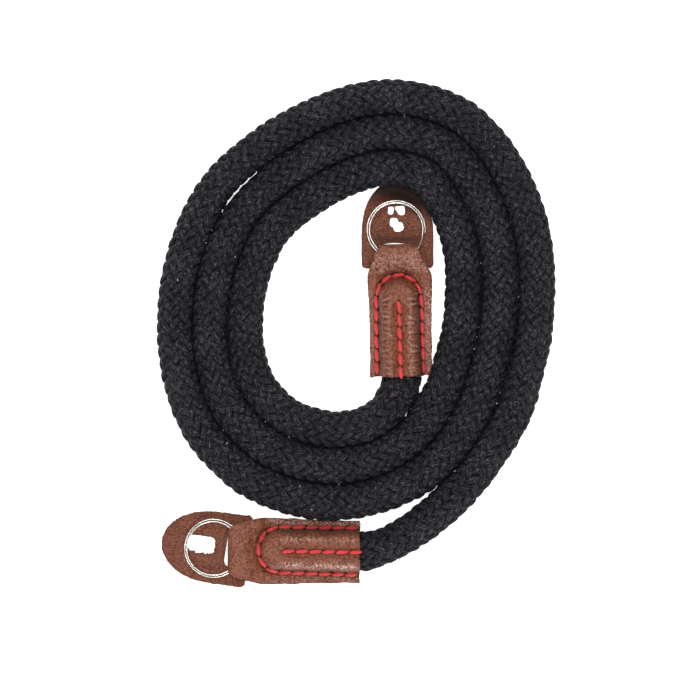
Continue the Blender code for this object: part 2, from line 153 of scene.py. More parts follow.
# Each end's place is the CAD's, only with the outer pad turned half a degree more. The rest is what the
# photograph shows: shifts of the ring, mouth, seam and fold, how much of the lower layer shows on the left,
# how deep the creases are, and how strong the painted highlight on the grain is on the lobes over the rope,
# on the margins (each left, right) and on the neck. Then the pad's rough edge, how strong the painted shadow
# of the rope is on its tip, and its number of fibres.
ENDS = {
    "outer": {
        "side": "outer", "direction": 269.8, "lane": 2.332, "heading": 179.1, "pad_turn": -6.4,
        "ring_step_at": 150.0, "ring_shift": (-0.08 * MM, -0.3 * MM), "seed": 31,
        "mouth": 0.0, "seam_shift": -0.2 * MM, "nose": 6.1 * MM, "fold_shift": 0.0, "under_shows": 0.28 * MM,
        "wrinkle": 0.10, "lobe_at": (4.3 * MM, 3.7 * MM), "lobe": (0.95, 0.35), "margin": (0.25, 0.7),
        "neck": 0.02, "pad_roughness": 0.07 * MM, "pad_tip_shade": 0.0, "fuzz": 420,
    },
    "inner": {
        "side": "inner", "direction": 305.7, "lane": -1.926, "heading": 91.3, "pad_turn": -1.0,
        "ring_step_at": -118.0, "ring_shift": (0.85 * MM, 0.3 * MM), "seed": 57,
        "mouth": 0.8 * MM, "seam_shift": 0.0, "nose": 6.9 * MM, "fold_shift": 0.85 * MM, "under_shows": 0.0,
        "wrinkle": 0.26, "lobe_at": (3.1 * MM, 3.1 * MM), "lobe": (0.12, 0.32), "margin": (0.25, 0.4),
        "neck": 0.34, "pad_roughness": 0.03 * MM, "pad_tip_shade": 1.0, "fuzz": 160,
    },
}

# Braid: strands that run each way round the rope, over two and under two of the others
STRANDS_EACH_WAY = 12
BRAID_LAY = 41.4 * MM
BRAID_MIDDLE = 4.0 * MM
BRAID_LIFT = 0.5 * MM
BRAID_ARCH = 0.3 * MM
BRAID_ROLL = pi / 24
BRAID_ROLL_SWING = 0.08
BRAID_ROLL_WAVE = 83 * MM
BRAID_LOOSENESS = 0.16 * MM
BRAID_SWAY = 0.035
STRAND_WIDTH = 2.1 * MM
STRAND_THICKNESS = 1.6 * MM
STRAND_STEP = 0.86 * MM
STRAND_SIDES = 8
# Painted shade: how dark a strand is where it dives under, and where the painted shade on the rope's low
# sides begins and over how much
UNDER_SHADE = 0.38
LOW_FROM = 0.84
LOW_OVER = 0.66
ROPE_OUTSIDE = BRAID_MIDDLE + BRAID_LIFT + BRAID_ARCH + STRAND_THICKNESS / 2
CORE_RADIUS = 3.9 * MM
CORE_SIDES = 20
SEWN_WIDTH = 11.0 * MM
SEWN_HEIGHT = 7.9 * MM
SQUEEZE_LENGTH = 3.0 * MM
SEWN_CLEARANCE = 0.1 * MM
SEWN_GROOVE_DEPTH = 1.7 * MM
SEWN_GROOVE_WIDTH = 2.2 * MM
END_TAPER = 0.93
MOUTH_BULGES = {"inner": (1.0 * MM, 0.4 * MM), "outer": (0.5 * MM, 1.2 * MM)}
BULGE_RISE = 1.0 * MM
BULGE_FALL = 4.0 * MM

# Neighbouring turns: how far each goes past the line midway between them, how near they have to lie for that,
# and how far along the rope and how nearly abreast a place counts as one on another turn
TURN_OVERLAP = 0.48 * MM
NEIGHBOUR_REACH = 12.4 * MM
NEIGHBOUR_FROM = 40 * MM
NEIGHBOUR_ABREAST = 1.5 * MM
SMOOTHED_POINTS = 15
# Where light shows between two turns: a pixel of the photograph, half the length and how far it opens
OPENINGS = (((239, 190.5), 8.6 * MM, 0.64 * MM), ((211.5, 231.5), 0.8 * MM, 0.66 * MM))

# Where the leather's upper face changes, from its axis and from its mouth: the painted highlight on the lobes
# over the rope, the painted shade on the foot of the sleeve, the painted highlight on the margins, and the
# neck's fine lines and its painted highlight
LOBE_WIDTH = 0.85 * MM
FLANK_AT = 5.9 * MM
FLANK_WIDTH = 0.75 * MM
MARGIN_FROM = 7.4 * MM
MARGIN_UNTIL = 29 * MM
NECK_LINES_FROM = 29.5 * MM
NECK_SHINE_FROM = 30.8 * MM
NECK_SHINE_UNTIL = 38.8 * MM

# Stitching: the thread, its pitch and the seams' sizes; the U seam narrows a little toward its nose
THREAD_WIDTH = 1.15 * MM
THREAD_HEIGHT = 0.85 * MM
STITCH_PITCH = 3.95 * MM
STITCH_LENGTH = 3.35 * MM
STITCH_SLANT = 0.2 * MM
U_SEAM_MOUTH = 7.02 * MM
U_SEAM_WIDTH = 6.75 * MM
U_SEAM_STRAIGHT = 24.2 * MM
CENTRE_SEAM_END = 23.2 * MM
STITCH_HOLE = 0.42 * MM

# Loose fibres and lint: how many stand on the rope, and how thick they are
ROPE_FIBRES = 1300
ROPE_FIBRE_THICKNESS = 0.045 * MM
PAD_FIBRE_THICKNESS = 0.06 * MM
LINT_THICKNESS = 0.22 * MM

# The photograph: its pixels, what one of them shows of the floor, and where its middle lies
PICTURE_PIXELS = 680
PIXEL = 0.3 * MM
FRAME_WIDTH = PICTURE_PIXELS * PIXEL
FRAME_MIDDLE = (-4.81 * MM, -1.78 * MM)
# Where lint lies, as pixels of the photograph
BROWN_LINT = ((395, 395), (386, 388), (513, 403))
PALE_LINT = ((179, 281), (312, 508), (236, 257), (300, 486), (228, 442), (455, 470), (207, 243), (404, 118))

# Studio: the camera, and each softbox's place, size and power
CAMERA_HEIGHT = 1.6
SENSOR_WIDTH = 36.0
FLOOR_HALF = 3.0
FLOOR_DROP = 0.02 * MM
# The floor's glow is painted light: it whitens the shadows on the floor in the gaps between the turns
FLOOR_GLOW = 0.72
SKY_STRENGTH = 0.30
SOFTBOXES = {
    "softbox_upper_left": ((-0.30, 0.90, 1.15), 0.35, 9.0),
    "softbox_lower": ((0.08, -0.72, 0.58), 0.20, 4.4),
    "softbox_overhead": ((0.10, 0.10, 2.2), 0.6, 28.0),
}


def pixel_place(across, down):
    """The place on the floor of one of the photograph's pixels, counted from its upper left corner."""
    middle = PICTURE_PIXELS / 2
    return FRAME_MIDDLE[0] + (across - middle) * PIXEL, FRAME_MIDDLE[1] - (down - middle) * PIXEL


def smooth_step(share):
    """Rises from 0 to 1 as share does, level at both ends."""
    share = np.clip(share, 0.0, 1.0)
    return share * share * (3 - 2 * share)


def bell(distance, width, power=2):
    """1 at no distance, falling to nothing beyond about the width."""
    return np.exp(-(distance / width) ** power)


def unit(vectors):
    """The same directions at length 1."""
    return vectors / np.linalg.norm(vectors, axis=-1, keepdims=True)


def left_of(ahead):
    """Each of the plane's vectors turned a quarter turn to the left."""
    return np.column_stack([-ahead[:, 1], ahead[:, 0]])


def distances_along(line):
    """How far along a line of points each of them is."""
    return np.concatenate([[0], np.cumsum(np.linalg.norm(np.diff(line, axis=0), axis=1))])


def curve_through(points, steps):
    """A smooth curve through points, with steps points on each stretch between two of them."""
    points = np.asarray(points, float)
    before = 2 * points[0] - points[1]
    after = 2 * points[-1] - points[-2]
    padded = np.vstack([before, points, after])
    curve = []
    for p0, p1, p2, p3 in zip(padded, padded[1:], padded[2:], padded[3:]):
        for t in np.arange(steps) / steps:
            curve.append(
                0.5 * (2 * p1 + (p2 - p0) * t + (2 * p0 - 5 * p1 + 4 * p2 - p3) * t ** 2
                       + (3 * p1 - p0 - 3 * p2 + p3) * t ** 3)
            )
    curve.append(points[-1])
    return np.array(curve)


def middle_turn():
    """The middle turn's points and outward normals, one for each degree of direction."""
    rows = len(COIL_OUTLINE)
    outline = []
    for row in range(-2, rows + 3):
        angle = radians(row * COIL_OUTLINE_STEP)
        radius = COIL_RADIUS * COIL_OUTLINE[row % rows]
        outline.append((radius * cos(angle), radius * sin(angle)))
    curve = curve_through(outline, COIL_OUTLINE_STEP)
    first = 2 * COIL_OUTLINE_STEP
    along = curve[first + 1:first + 361] - curve[first - 1:first + 359]
    return curve[first:first + 360], -left_of(unit(along))


def lane_spacing():
    """The distance between neighbouring lanes, for each degree of direction."""
    rows = len(TURN_SPACING)
    table = [(row, ROPE_DIAMETER * TURN_SPACING[row % rows]) for row in range(-2, rows + 3)]
    first = 2 * TURN_SPACING_STEP
    return curve_through(table, TURN_SPACING_STEP)[first:first + 360, 1]


MIDDLE_TURN = middle_turn()
LANE_SPACING = lane_spacing()


def coil_place(direction, lane):
    """The place in a direction from the coil's centre, a number of lanes outside the middle turn."""
    points, normals = MIDDLE_TURN
    lanes = points + normals * LANE_SPACING[:, None] * lane
    low = floor(direction)
    share = direction - low
    return np.array(COIL_CENTRE) + (1 - share) * lanes[low % 360] + share * lanes[(low + 1) % 360]


def coil_lane(travel):
    """The lane that the rope is in after so many degrees round the coil."""
    steps = (travel - STEP_FROM) / 360
    share = min((steps - floor(steps)) * 360 / STEP_OVER, 1.0)
    stepped = share - STEP_SOFTNESS * sin(2 * pi * share) / (2 * pi)
    return floor(steps) + stepped - (COIL_TURNS - 1) / 2


def end_frame(end):
    """The matrix of an end's own frame, with u along its X and v along its Y."""
    x, y = coil_place(end["direction"], end["lane"])
    return Matrix.Translation((x, y, 0)) @ Matrix.Rotation(radians(end["heading"]), 4, "Z")


def in_sleeve(end, depths):
    """Places on an end's axis at the given depths inside its mouth."""
    placed = end_frame(end)
    return [(placed @ Vector((depth, 0, 0))).to_2d() for depth in depths]


def rope_route():
    """The rope's centre line from one end to the other, as points close together."""
    depths = [ROPE_REACH * share for share in SLEEVE_POINTS]
    last_travel = 360 * (COIL_TURNS - 1) + STEP_FROM
    points = in_sleeve(ENDS["inner"], depths)
    points += [coil_place(*row) for row in LEAD_IN]
    for travel in np.arange(10, last_travel + 1, 10):
        points.append(coil_place(270 - travel, coil_lane(travel)))
    points += [coil_place(*row) for row in LEAD_OUT]
    points += in_sleeve(ENDS["outer"], reversed(depths))
    return curve_through(points, 12)


class Rope:
    """The rope's centre line and section at any distance along it."""

    def __init__(self):
        self.route = rope_route()
        self.distance = distances_along(self.route)
        self.length = self.distance[-1]
        self.half_left, self.half_right = self.room_beside()

    def room_beside(self):
        """Half widths on the left and right: the rope is pressed against the turns beside it."""
        ahead = unit(np.gradient(self.route, axis=0))
        left = left_of(ahead)
        offset = self.route[None] - self.route[:, None]
        beside = np.einsum("ijk,ik->ij", offset, left)
        along = np.einsum("ijk,ik->ij", offset, ahead)
        apart = np.abs(self.distance[None] - self.distance[:, None]) > NEIGHBOUR_FROM
        halves = []
        for hand in (1, -1):
            other = apart & (np.abs(along) < NEIGHBOUR_ABREAST) & (hand * beside > 0)
            nearest = np.where(other, hand * beside, 1.0).min(axis=1)
            half = np.where(nearest < NEIGHBOUR_REACH, nearest / 2 + TURN_OVERLAP, ROPE_OUTSIDE)
            padded = np.pad(half, SMOOTHED_POINTS // 2, mode="edge")
            half = np.convolve(padded, np.ones(SMOOTHED_POINTS) / SMOOTHED_POINTS, mode="valid")
            edge = self.route + hand * left * np.minimum(nearest, NEIGHBOUR_REACH)[:, None] / 2
            for pixel, reach, opening in OPENINGS:
                away = np.linalg.norm(edge - pixel_place(*pixel), axis=1)
                half = half - opening * bell(away, reach, 4)
            halves.append(half)
        return halves

    def place(self, travelled):
        """Centre and unit vectors ahead and to the left, for an array of distances."""
        step = 1.2 * MM
        low, mid, high = (
            np.column_stack([np.interp(travelled + offset, self.distance, line) for line in self.route.T])
            for offset in (-step, 0, step)
        )
        ahead = unit(high - low)
        return mid, ahead, left_of(ahead)

    def section(self, travelled):
        """Half widths on the left and right, half height and centre height of the rope's outside."""
        depth = ROPE_REACH - np.minimum(travelled, self.length - travelled)
        squeeze = smooth_step(1 + (depth + GAP) / SQUEEZE_LENGTH)
        near_start = travelled < self.length / 2
        outside = np.where(near_start, ENDS["inner"]["mouth"], ENDS["outer"]["mouth"]) - depth
        swell = smooth_step(outside / BULGE_RISE) * bell(np.maximum(outside - BULGE_RISE, 0), BULGE_FALL)
        taper = np.sqrt(1 - np.clip((depth - SLEEVE_DEPTH) / (ROPE_REACH - SLEEVE_DEPTH), 0, END_TAPER) ** 2)
        widths = []
        for hand, half in enumerate((self.half_left, self.half_right)):
            free = np.interp(travelled, self.distance, half)
            bulge = swell * np.where(near_start, MOUTH_BULGES["inner"][hand], MOUTH_BULGES["outer"][hand])
            widths.append((free + (SEWN_WIDTH / 2 - free) * squeeze + bulge) * taper)
        half_height = ROPE_OUTSIDE + (SEWN_HEIGHT / 2 - ROPE_OUTSIDE) * squeeze
        floor_height = (LEATHER_THICKNESS + SEWN_CLEARANCE) * squeeze
        return *widths, half_height * taper, floor_height + half_height

    def around(self, travelled, angle, radius):
        """Points at an angle round the rope and at a share of its free radius."""
        middle, _, left = self.place(travelled)
        half_left, half_right, half_height, height = self.section(travelled)
        share = radius / ROPE_OUTSIDE
        across = np.where(np.cos(angle) > 0, half_left, half_right) * share * np.cos(angle)
        up = height + half_height * share * np.sin(angle)
        depth = ROPE_REACH - np.minimum(travelled, self.length - travelled)
        in_mouth = smooth_step((depth + 1.5 * MM) / (2.5 * MM))
        groove = SEWN_GROOVE_DEPTH * in_mouth * np.clip(np.sin(angle), 0, 1)
        up = up - groove * bell(across, SEWN_GROOVE_WIDTH)
        return np.column_stack([middle + left * across[:, None], up])


def add_object(name, data):
    """A new object in the scene."""
    item = bpy.data.objects.new(name, data)
    bpy.context.scene.collection.objects.link(item)
    return item


def mesh_object(name, points, faces, material, corner_uvs=None, placed=None, **values):
    """A smooth mesh object, with one UV for each face corner and named values for each point."""
    data = bpy.data.meshes.new(name)
    data.from_pydata(np.asarray(points).tolist(), [], faces)
    for word, value in values.items():
        data.attributes.new(word, "FLOAT", "POINT").data.foreach_set("value", np.asarray(value, np.float32))
    if corner_uvs is not None:
        layer = data.uv_layers.new(name="UVMap")
        layer.data.foreach_set("uv", np.asarray(corner_uvs, dtype=np.float32).ravel())
    data.shade_smooth()
    data.materials.append(material)
    if placed is not None:
        data.transform(placed)
    return add_object(name, data)


def tube_faces(count, sides, first):
    """The quads round a tube of rings, and each corner's row and side."""
    row, side = np.meshgrid(np.arange(count - 1), np.arange(sides), indexing="ij")
    corners = [(row, side), (row, side + 1), (row + 1, side + 1), (row + 1, side)]
    quads = np.stack([first + r * sides + s % sides for r, s in corners], axis=-1).reshape(-1, 4)
    places = np.stack([np.stack([r, s], axis=-1) for r, s in corners], axis=2).reshape(-1, 2)
    return quads, places


class TubeMesh:
    """Gathers tubes into one mesh."""

    def __init__(self):
        self.points = []
        self.faces = []
        self.uvs = []
        self.shade = []
        self.count = 0

    def add(self, rings, along, uv_shift=0.0, shade=None):
        """A closed tube through rings of points; along is the UV's first value at each ring."""
        rings = np.asarray(rings)
        count, sides, _ = rings.shape
        self.shade.append(np.repeat(np.zeros(count) if shade is None else shade, sides))
        quads, places = tube_faces(count, sides, self.count)
        self.points.append(rings.reshape(-1, 3))
        self.faces += quads.tolist()
        self.uvs.append(np.column_stack([along[places[:, 0]], places[:, 1] / sides + uv_shift]))
        first = list(range(self.count, self.count + sides))
        last = [self.count + (count - 1) * sides + side for side in range(sides)]
        self.faces += [first[::-1], last]
        self.uvs.append(np.tile([along[0], uv_shift], (2 * sides, 1)))
        self.count += count * sides

    def make(self, name, material, placed=None):
        """The tubes as one object, moved to its place."""
        shade = np.concatenate(self.shade)
        points = np.vstack(self.points)
        return mesh_object(name, points, self.faces, material, np.vstack(self.uvs), placed, shade=shade)


def frames_along(line, outward):
    """Unit vectors sideways and outward along a line, with outward as near as may be to the one given."""
    ahead = unit(np.gradient(line, axis=0))
    outward = unit(outward - ahead * np.sum(outward * ahead, axis=1)[:, None])
    return np.cross(outward, ahead), outward


def swept(line, aside, outward, section):
    """Rings of points along a line; the section gives each side's distances aside and outward."""
    sides = []
    for across, up in section:
        sides.append(line + aside * np.reshape(across, (-1, 1)) + outward * np.reshape(up, (-1, 1)))
    return np.stack(sides, axis=1)


def make_core(rope, material):
    """The dark core under the braid, and its centre line."""
    travelled = np.arange(0, rope.length, 2.0 * MM)
    turns = 2 * pi * np.arange(CORE_SIDES) / CORE_SIDES
    sides = [rope.around(travelled, np.full_like(travelled, turn), CORE_RADIUS) for turn in turns]
    rings = np.stack(sides, axis=1)
    tube = TubeMesh()
    tube.add(rings, travelled / MM)
    core = tube.make("rope_core", material)
    return core, rings.mean(axis=1)


def braid_roll(travelled):
    """How far the braid is rolled about the rope's own line: its ridges run along both sides of the rope."""
    return BRAID_ROLL + BRAID_ROLL_SWING * np.sin(travelled / BRAID_ROLL_WAVE)


def strand_section(half_width):
    """A strand's section: nearly flat on top, with its sides a little lower than its middle."""
    section = []
    for side in range(STRAND_SIDES):
        turn = 2 * pi * (side + 0.5) / STRAND_SIDES
        across = half_width * np.sign(cos(turn)) * abs(cos(turn)) ** 0.85
        section.append((across, STRAND_THICKNESS / 2 * sin(turn) - 0.1 * MM * cos(turn) ** 2))
    return section


def make_strands(rope, material):
    """The braid's strands, in groups that keep each mesh small."""
    travelled = np.arange(0.4 * MM, rope.length - 0.4 * MM, STRAND_STEP)
    axis_points = np.column_stack([rope.place(travelled)[0], rope.section(travelled)[-1]])
    random = np.random.default_rng(4)
    pieces = []
    for hand, word in ((1, "left"), (-1, "right")):
        for group in range(2):
            tube = TubeMesh()
            for strand in range(group, STRANDS_EACH_WAY, 2):
                angle = hand * 2 * pi * travelled / BRAID_LAY + 2 * pi * strand / STRANDS_EACH_WAY
                column = angle * STRANDS_EACH_WAY / pi
                wave = np.cos(2 * pi * (column - 1.5) / 4)
                over = hand * np.sin(pi / 2 * np.clip(1.3 * wave, -1, 1))
                radius = BRAID_MIDDLE + BRAID_LIFT * over + BRAID_ARCH * hand * wave
                loose, sway = (random.normal(0, 1, len(travelled)) for _ in range(2))
                loose = BRAID_LOOSENESS * np.convolve(loose, np.ones(4) / 4, mode="same")
                sway = BRAID_SWAY * np.convolve(sway, np.ones(5) / 3, mode="same")
                turned = angle + braid_roll(travelled) + sway
                line = rope.around(travelled, turned, radius + loose)
                section = strand_section(STRAND_WIDTH / 2 * (0.96 + 0.06 * over))
                rings = swept(line, *frames_along(line, line - axis_points), section)
                number = float(strand + 20 * (hand > 0))
                # Painted shade: darker where the strand dives under and on the rope's low sides
                low = smooth_step((LOW_FROM - np.sin(turned)) / LOW_OVER)
                tube.add(rings, distances_along(line) / MM, number, UNDER_SHADE * (1 - over) + low)
            pieces.append(tube.make(f"braid_{word}_{group + 1}", material))
    return pieces


def smooth_table(table):
    """A table's two columns, rounded off between its rows."""
    return curve_through(table, 8).T


SECTION_CURVE = smooth_table(SLEEVE_SECTION)
OUTLINE_CURVE = smooth_table(NECK_OUTLINE)
TRIM_CURVES = {side: smooth_table(table) for side, table in TRIMS.items()}


def pad_slope(pad_turn):
    """The pad's slope: it lies on the lower leather at its slit, and its tip touches the ground."""
    near, _ = slit_edges(pad_turn)
    return (LEATHER_THICKNESS + GAP) / (PAD_LENGTH - near)


def slit_edges(pad_turn):
    """Where the slit begins and ends along the pad."""
    swing = FOLD_WIDTH / 2 * abs(sin(radians(pad_turn)))
    return PAD_UNDER_NECK - FOLD_CORNER - swing, PAD_UNDER_NECK + GAP + swing


NECK_HEIGHT = PAD_LENGTH * pad_slope(0.0) + PAD_THICKNESS + RING_HEIGHT + LEATHER_THICKNESS + 2 * GAP


def half_width_at(u, side=None, v=0.0):
    """The leather's width to one side of its axis at a distance from its mouth."""
    share = (u - SLEEVE_DEPTH - SLEEVE_NOSE) / NECK_LENGTH
    widening = np.interp(share, *OUTLINE_CURVE)
    widening = 1 + (widening - 1) * smooth_step(u / SLEEVE_DEPTH)
    half = (FOLD_WIDTH + (LEATHER_WIDTH - FOLD_WIDTH) * widening) / 2
    if side:
        places, left, right = TRIM_CURVES[side]
        half = half + MM * np.where(v > 0, np.interp(u / MM, places, left), np.interp(u / MM, places, right))
    return half


def leather_top(u, v):
    """The height of the leather's upper face: a hump over the rope, then the neck over the ring."""
    past_sleeve = np.maximum(u - SLEEVE_DEPTH, 0) / SLEEVE_NOSE
    reach = np.hypot(v / (SLEEVE_WIDTH / 2), past_sleeve)
    hump = (SLEEVE_HEIGHT - CLOSED_HEIGHT) * np.interp(reach, *SECTION_CURVE)
    seam_share = smooth_step((CENTRE_SEAM_LENGTH - u) / (2 * MM))
    valley = np.clip(1 - (v / CENTRE_SEAM_HALF_WIDTH) ** 2, 0, 1) ** 2
    hump -= CENTRE_SEAM_DEPTH * seam_share * valley
    sewn_until = SLEEVE_DEPTH + SLEEVE_NOSE * np.sqrt(np.clip(1 - (v / (SLEEVE_WIDTH / 2)) ** 2, 0, 1)) + GAP
    risen_at = SLEEVE_DEPTH + SLEEVE_NOSE + GAP + NECK_RISE
    share = np.clip((u - sewn_until + VALLEY_FILL) / (risen_at - sewn_until + VALLEY_FILL), 0, 1)
    rise = (NECK_HEIGHT - CLOSED_HEIGHT) * (0.5 * share + 0.5 * smooth_step(share))
    return CLOSED_HEIGHT + np.maximum(hump, (1 - RISE_ON_HUMP) * rise) + RISE_ON_HUMP * rise


def ripples(x, y, size, seed, count=14):
    """Smooth unevenness of about one in height, with waves of about the given size."""
    random = np.random.default_rng(seed)
    total = np.zeros(np.broadcast(x, y).shape)
    for _ in range(count):
        heading = random.uniform(0, 2 * pi)
        wave = 2 * pi / (size * random.uniform(0.7, 1.6))
        total += np.sin((x * cos(heading) + y * sin(heading)) * wave + random.uniform(0, 2 * pi))
    return total / sqrt(count / 2)


def u_seam(end):
    """The U seam's line from the mouth round the nose and back, as points close together."""
    straight = np.linspace(end["mouth"] + 0.3 * MM, U_SEAM_STRAIGHT, 40)
    half = U_SEAM_MOUTH + (U_SEAM_WIDTH - U_SEAM_MOUTH) * straight / U_SEAM_STRAIGHT
    turn = np.radians(np.linspace(0, 180, 60))[1:-1]
    nose = np.column_stack([U_SEAM_STRAIGHT + end["nose"] * np.sin(turn), U_SEAM_WIDTH * np.cos(turn)])
    line = np.vstack([np.column_stack([straight, half]), nose, np.column_stack([straight, -half])[::-1]])
    line[:, 1] += end["seam_shift"] * smooth_step(line[:, 0] / U_SEAM_STRAIGHT)
    return line


def centre_seam(end):
    """The centre seam's line from just outside the mouth."""
    u = np.linspace(end["mouth"] - 0.9 * MM, CENTRE_SEAM_END, 40)
    return np.column_stack([u, np.zeros_like(u)])


def seam_stitches(line):
    """Each stitch's start and end on a seam, as pairs of (u, v)."""
    distance = distances_along(line)
    count = round(distance[-1] / STITCH_PITCH)
    pitch = distance[-1] / count
    stitches = []
    for stitch in range(count):
        start = pitch * stitch + (pitch - STITCH_LENGTH) / 2
        ends = [start, start + STITCH_LENGTH]
        stitches.append(np.column_stack([np.interp(ends, distance, line[:, axis]) for axis in (0, 1)]))
    return stitches


def distance_to_leg(x, y, a, b):
    """Each point's distance to the straight leg from a to b."""
    leg = b - a
    t = np.clip(((x - a[0]) * leg[0] + (y - a[1]) * leg[1]) / max(leg.dot(leg), 1e-16), 0, 1)
    return np.hypot(x - a[0] - t * leg[0], y - a[1] - t * leg[1])


def distance_to_line(u, v, line):
    """Each point's distance to a line of close points."""
    nearest = np.full(np.shape(u), 1.0)
    for a, b in zip(line, line[1:]):
        nearest = np.minimum(nearest, distance_to_leg(u, v, a, b))
    return nearest


def creases(u, v, seed):
    """Crosswise creases on the two lobes over the rope, from 0 to about -1, with a soft ridge beside each."""
    random = np.random.default_rng(seed)
    total = np.zeros(np.shape(u))
    for side in (-1, 1):
        for place in np.arange(1.0 * MM, SLEEVE_DEPTH, 1.7 * MM):
            place += random.normal(0, 0.3 * MM)
            middle = side * random.normal(3.9 * MM, 0.4 * MM)
            reach = random.uniform(0.9, 1.9) * MM
            strength = random.uniform(0.35, 1.0)
            across = v - middle
            along = u - place - random.normal(0, 0.25) * across
            within = bell(across, reach, 4) * strength
            total += within * (0.45 * bell(along - 0.6 * MM, 0.4 * MM) - bell(along, 0.24 * MM))
    return total


def leather_relief(u, v, end):
    """How far the upper face stands proud, how dark it is, mostly as painted shade, and its painted
    highlights on grain and ridges.
    """
    seed = end["seed"]
    relief = 0.09 * MM * ripples(u, v, 7 * MM, seed) + 0.035 * MM * ripples(u, v, 2.2 * MM, seed + 1)
    shade = np.zeros(np.shape(u))
    edge = half_width_at(u, end["side"], v) - np.abs(v)
    # Grooves along the seams and pits at the stitch holes, each with painted shade in it
    for line, groove in ((u_seam(end), 0.30 * MM), (centre_seam(end), 0.22 * MM)):
        trough = bell(distance_to_line(u, v, line[::3]), 0.72 * MM)
        relief -= groove * trough
        shade += 0.22 * trough
        for stitch in seam_stitches(line):
            for hole in stitch:
                pit = bell(np.hypot(u - hole[0], v - hole[1]), STITCH_HOLE)
                relief -= 0.4 * MM * pit
                shade += 0.7 * pit
    # Creases across the lobes, with painted shade in them
    lines = creases(u, v, seed + 2)
    relief += end["wrinkle"] * MM * lines
    shade += end["wrinkle"] * 2.2 * np.clip(-lines, 0, 1)
    relief -= 0.2 * MM * np.exp(-edge / (0.45 * MM))
    shade += 0.35 * np.exp(-edge / (0.3 * MM))
    # Painted shade on the foot of the sleeve, along its flanks
    on_sleeve = smooth_step((SLEEVE_DEPTH + 2 * MM - u) / (4 * MM))
    shade += 0.4 * bell(np.abs(v) - FLANK_AT, FLANK_WIDTH) * on_sleeve
    # Fine lines across the neck, with painted shade in them
    fine = ripples(u, 0.12 * v, 0.9 * MM, seed + 4)
    on_neck = smooth_step((u - NECK_LINES_FROM) / (2 * MM))
    relief += 0.02 * MM * fine * on_neck
    shade += 0.12 * np.clip(-fine, 0, 1.5) * on_neck
    # Painted highlight on the creases' soft ridges
    painted_ridge_glint = np.clip(4 * end["wrinkle"] * (lines - 0.08), 0, 0.8)
    return relief, np.clip(shade, 0, 1), painted_leather_glint(u, v, end), painted_ridge_glint


def painted_leather_glint(u, v, end):
    """How strong the painted highlight on the grain is: on the lobes over the rope, on the margins and on the
    neck.
    """
    left = v > 0
    lobe_at, lobe, margin = (np.where(left, *end[word]) for word in ("lobe_at", "lobe", "margin"))
    on_sleeve = smooth_step(u / (2 * MM)) * smooth_step((SLEEVE_DEPTH + 1 * MM - u) / (4 * MM))
    total = lobe * bell(np.abs(v) - lobe_at, LOBE_WIDTH) * on_sleeve
    on_margin = smooth_step((np.abs(v) - MARGIN_FROM) / (0.6 * MM))
    total += margin * on_margin * smooth_step((MARGIN_UNTIL - u) / (3 * MM))
    on_neck = smooth_step((u - NECK_SHINE_FROM) / (2 * MM))
    total += end["neck"] * on_neck * smooth_step((NECK_SHINE_UNTIL - u) / (1 * MM))
    return total


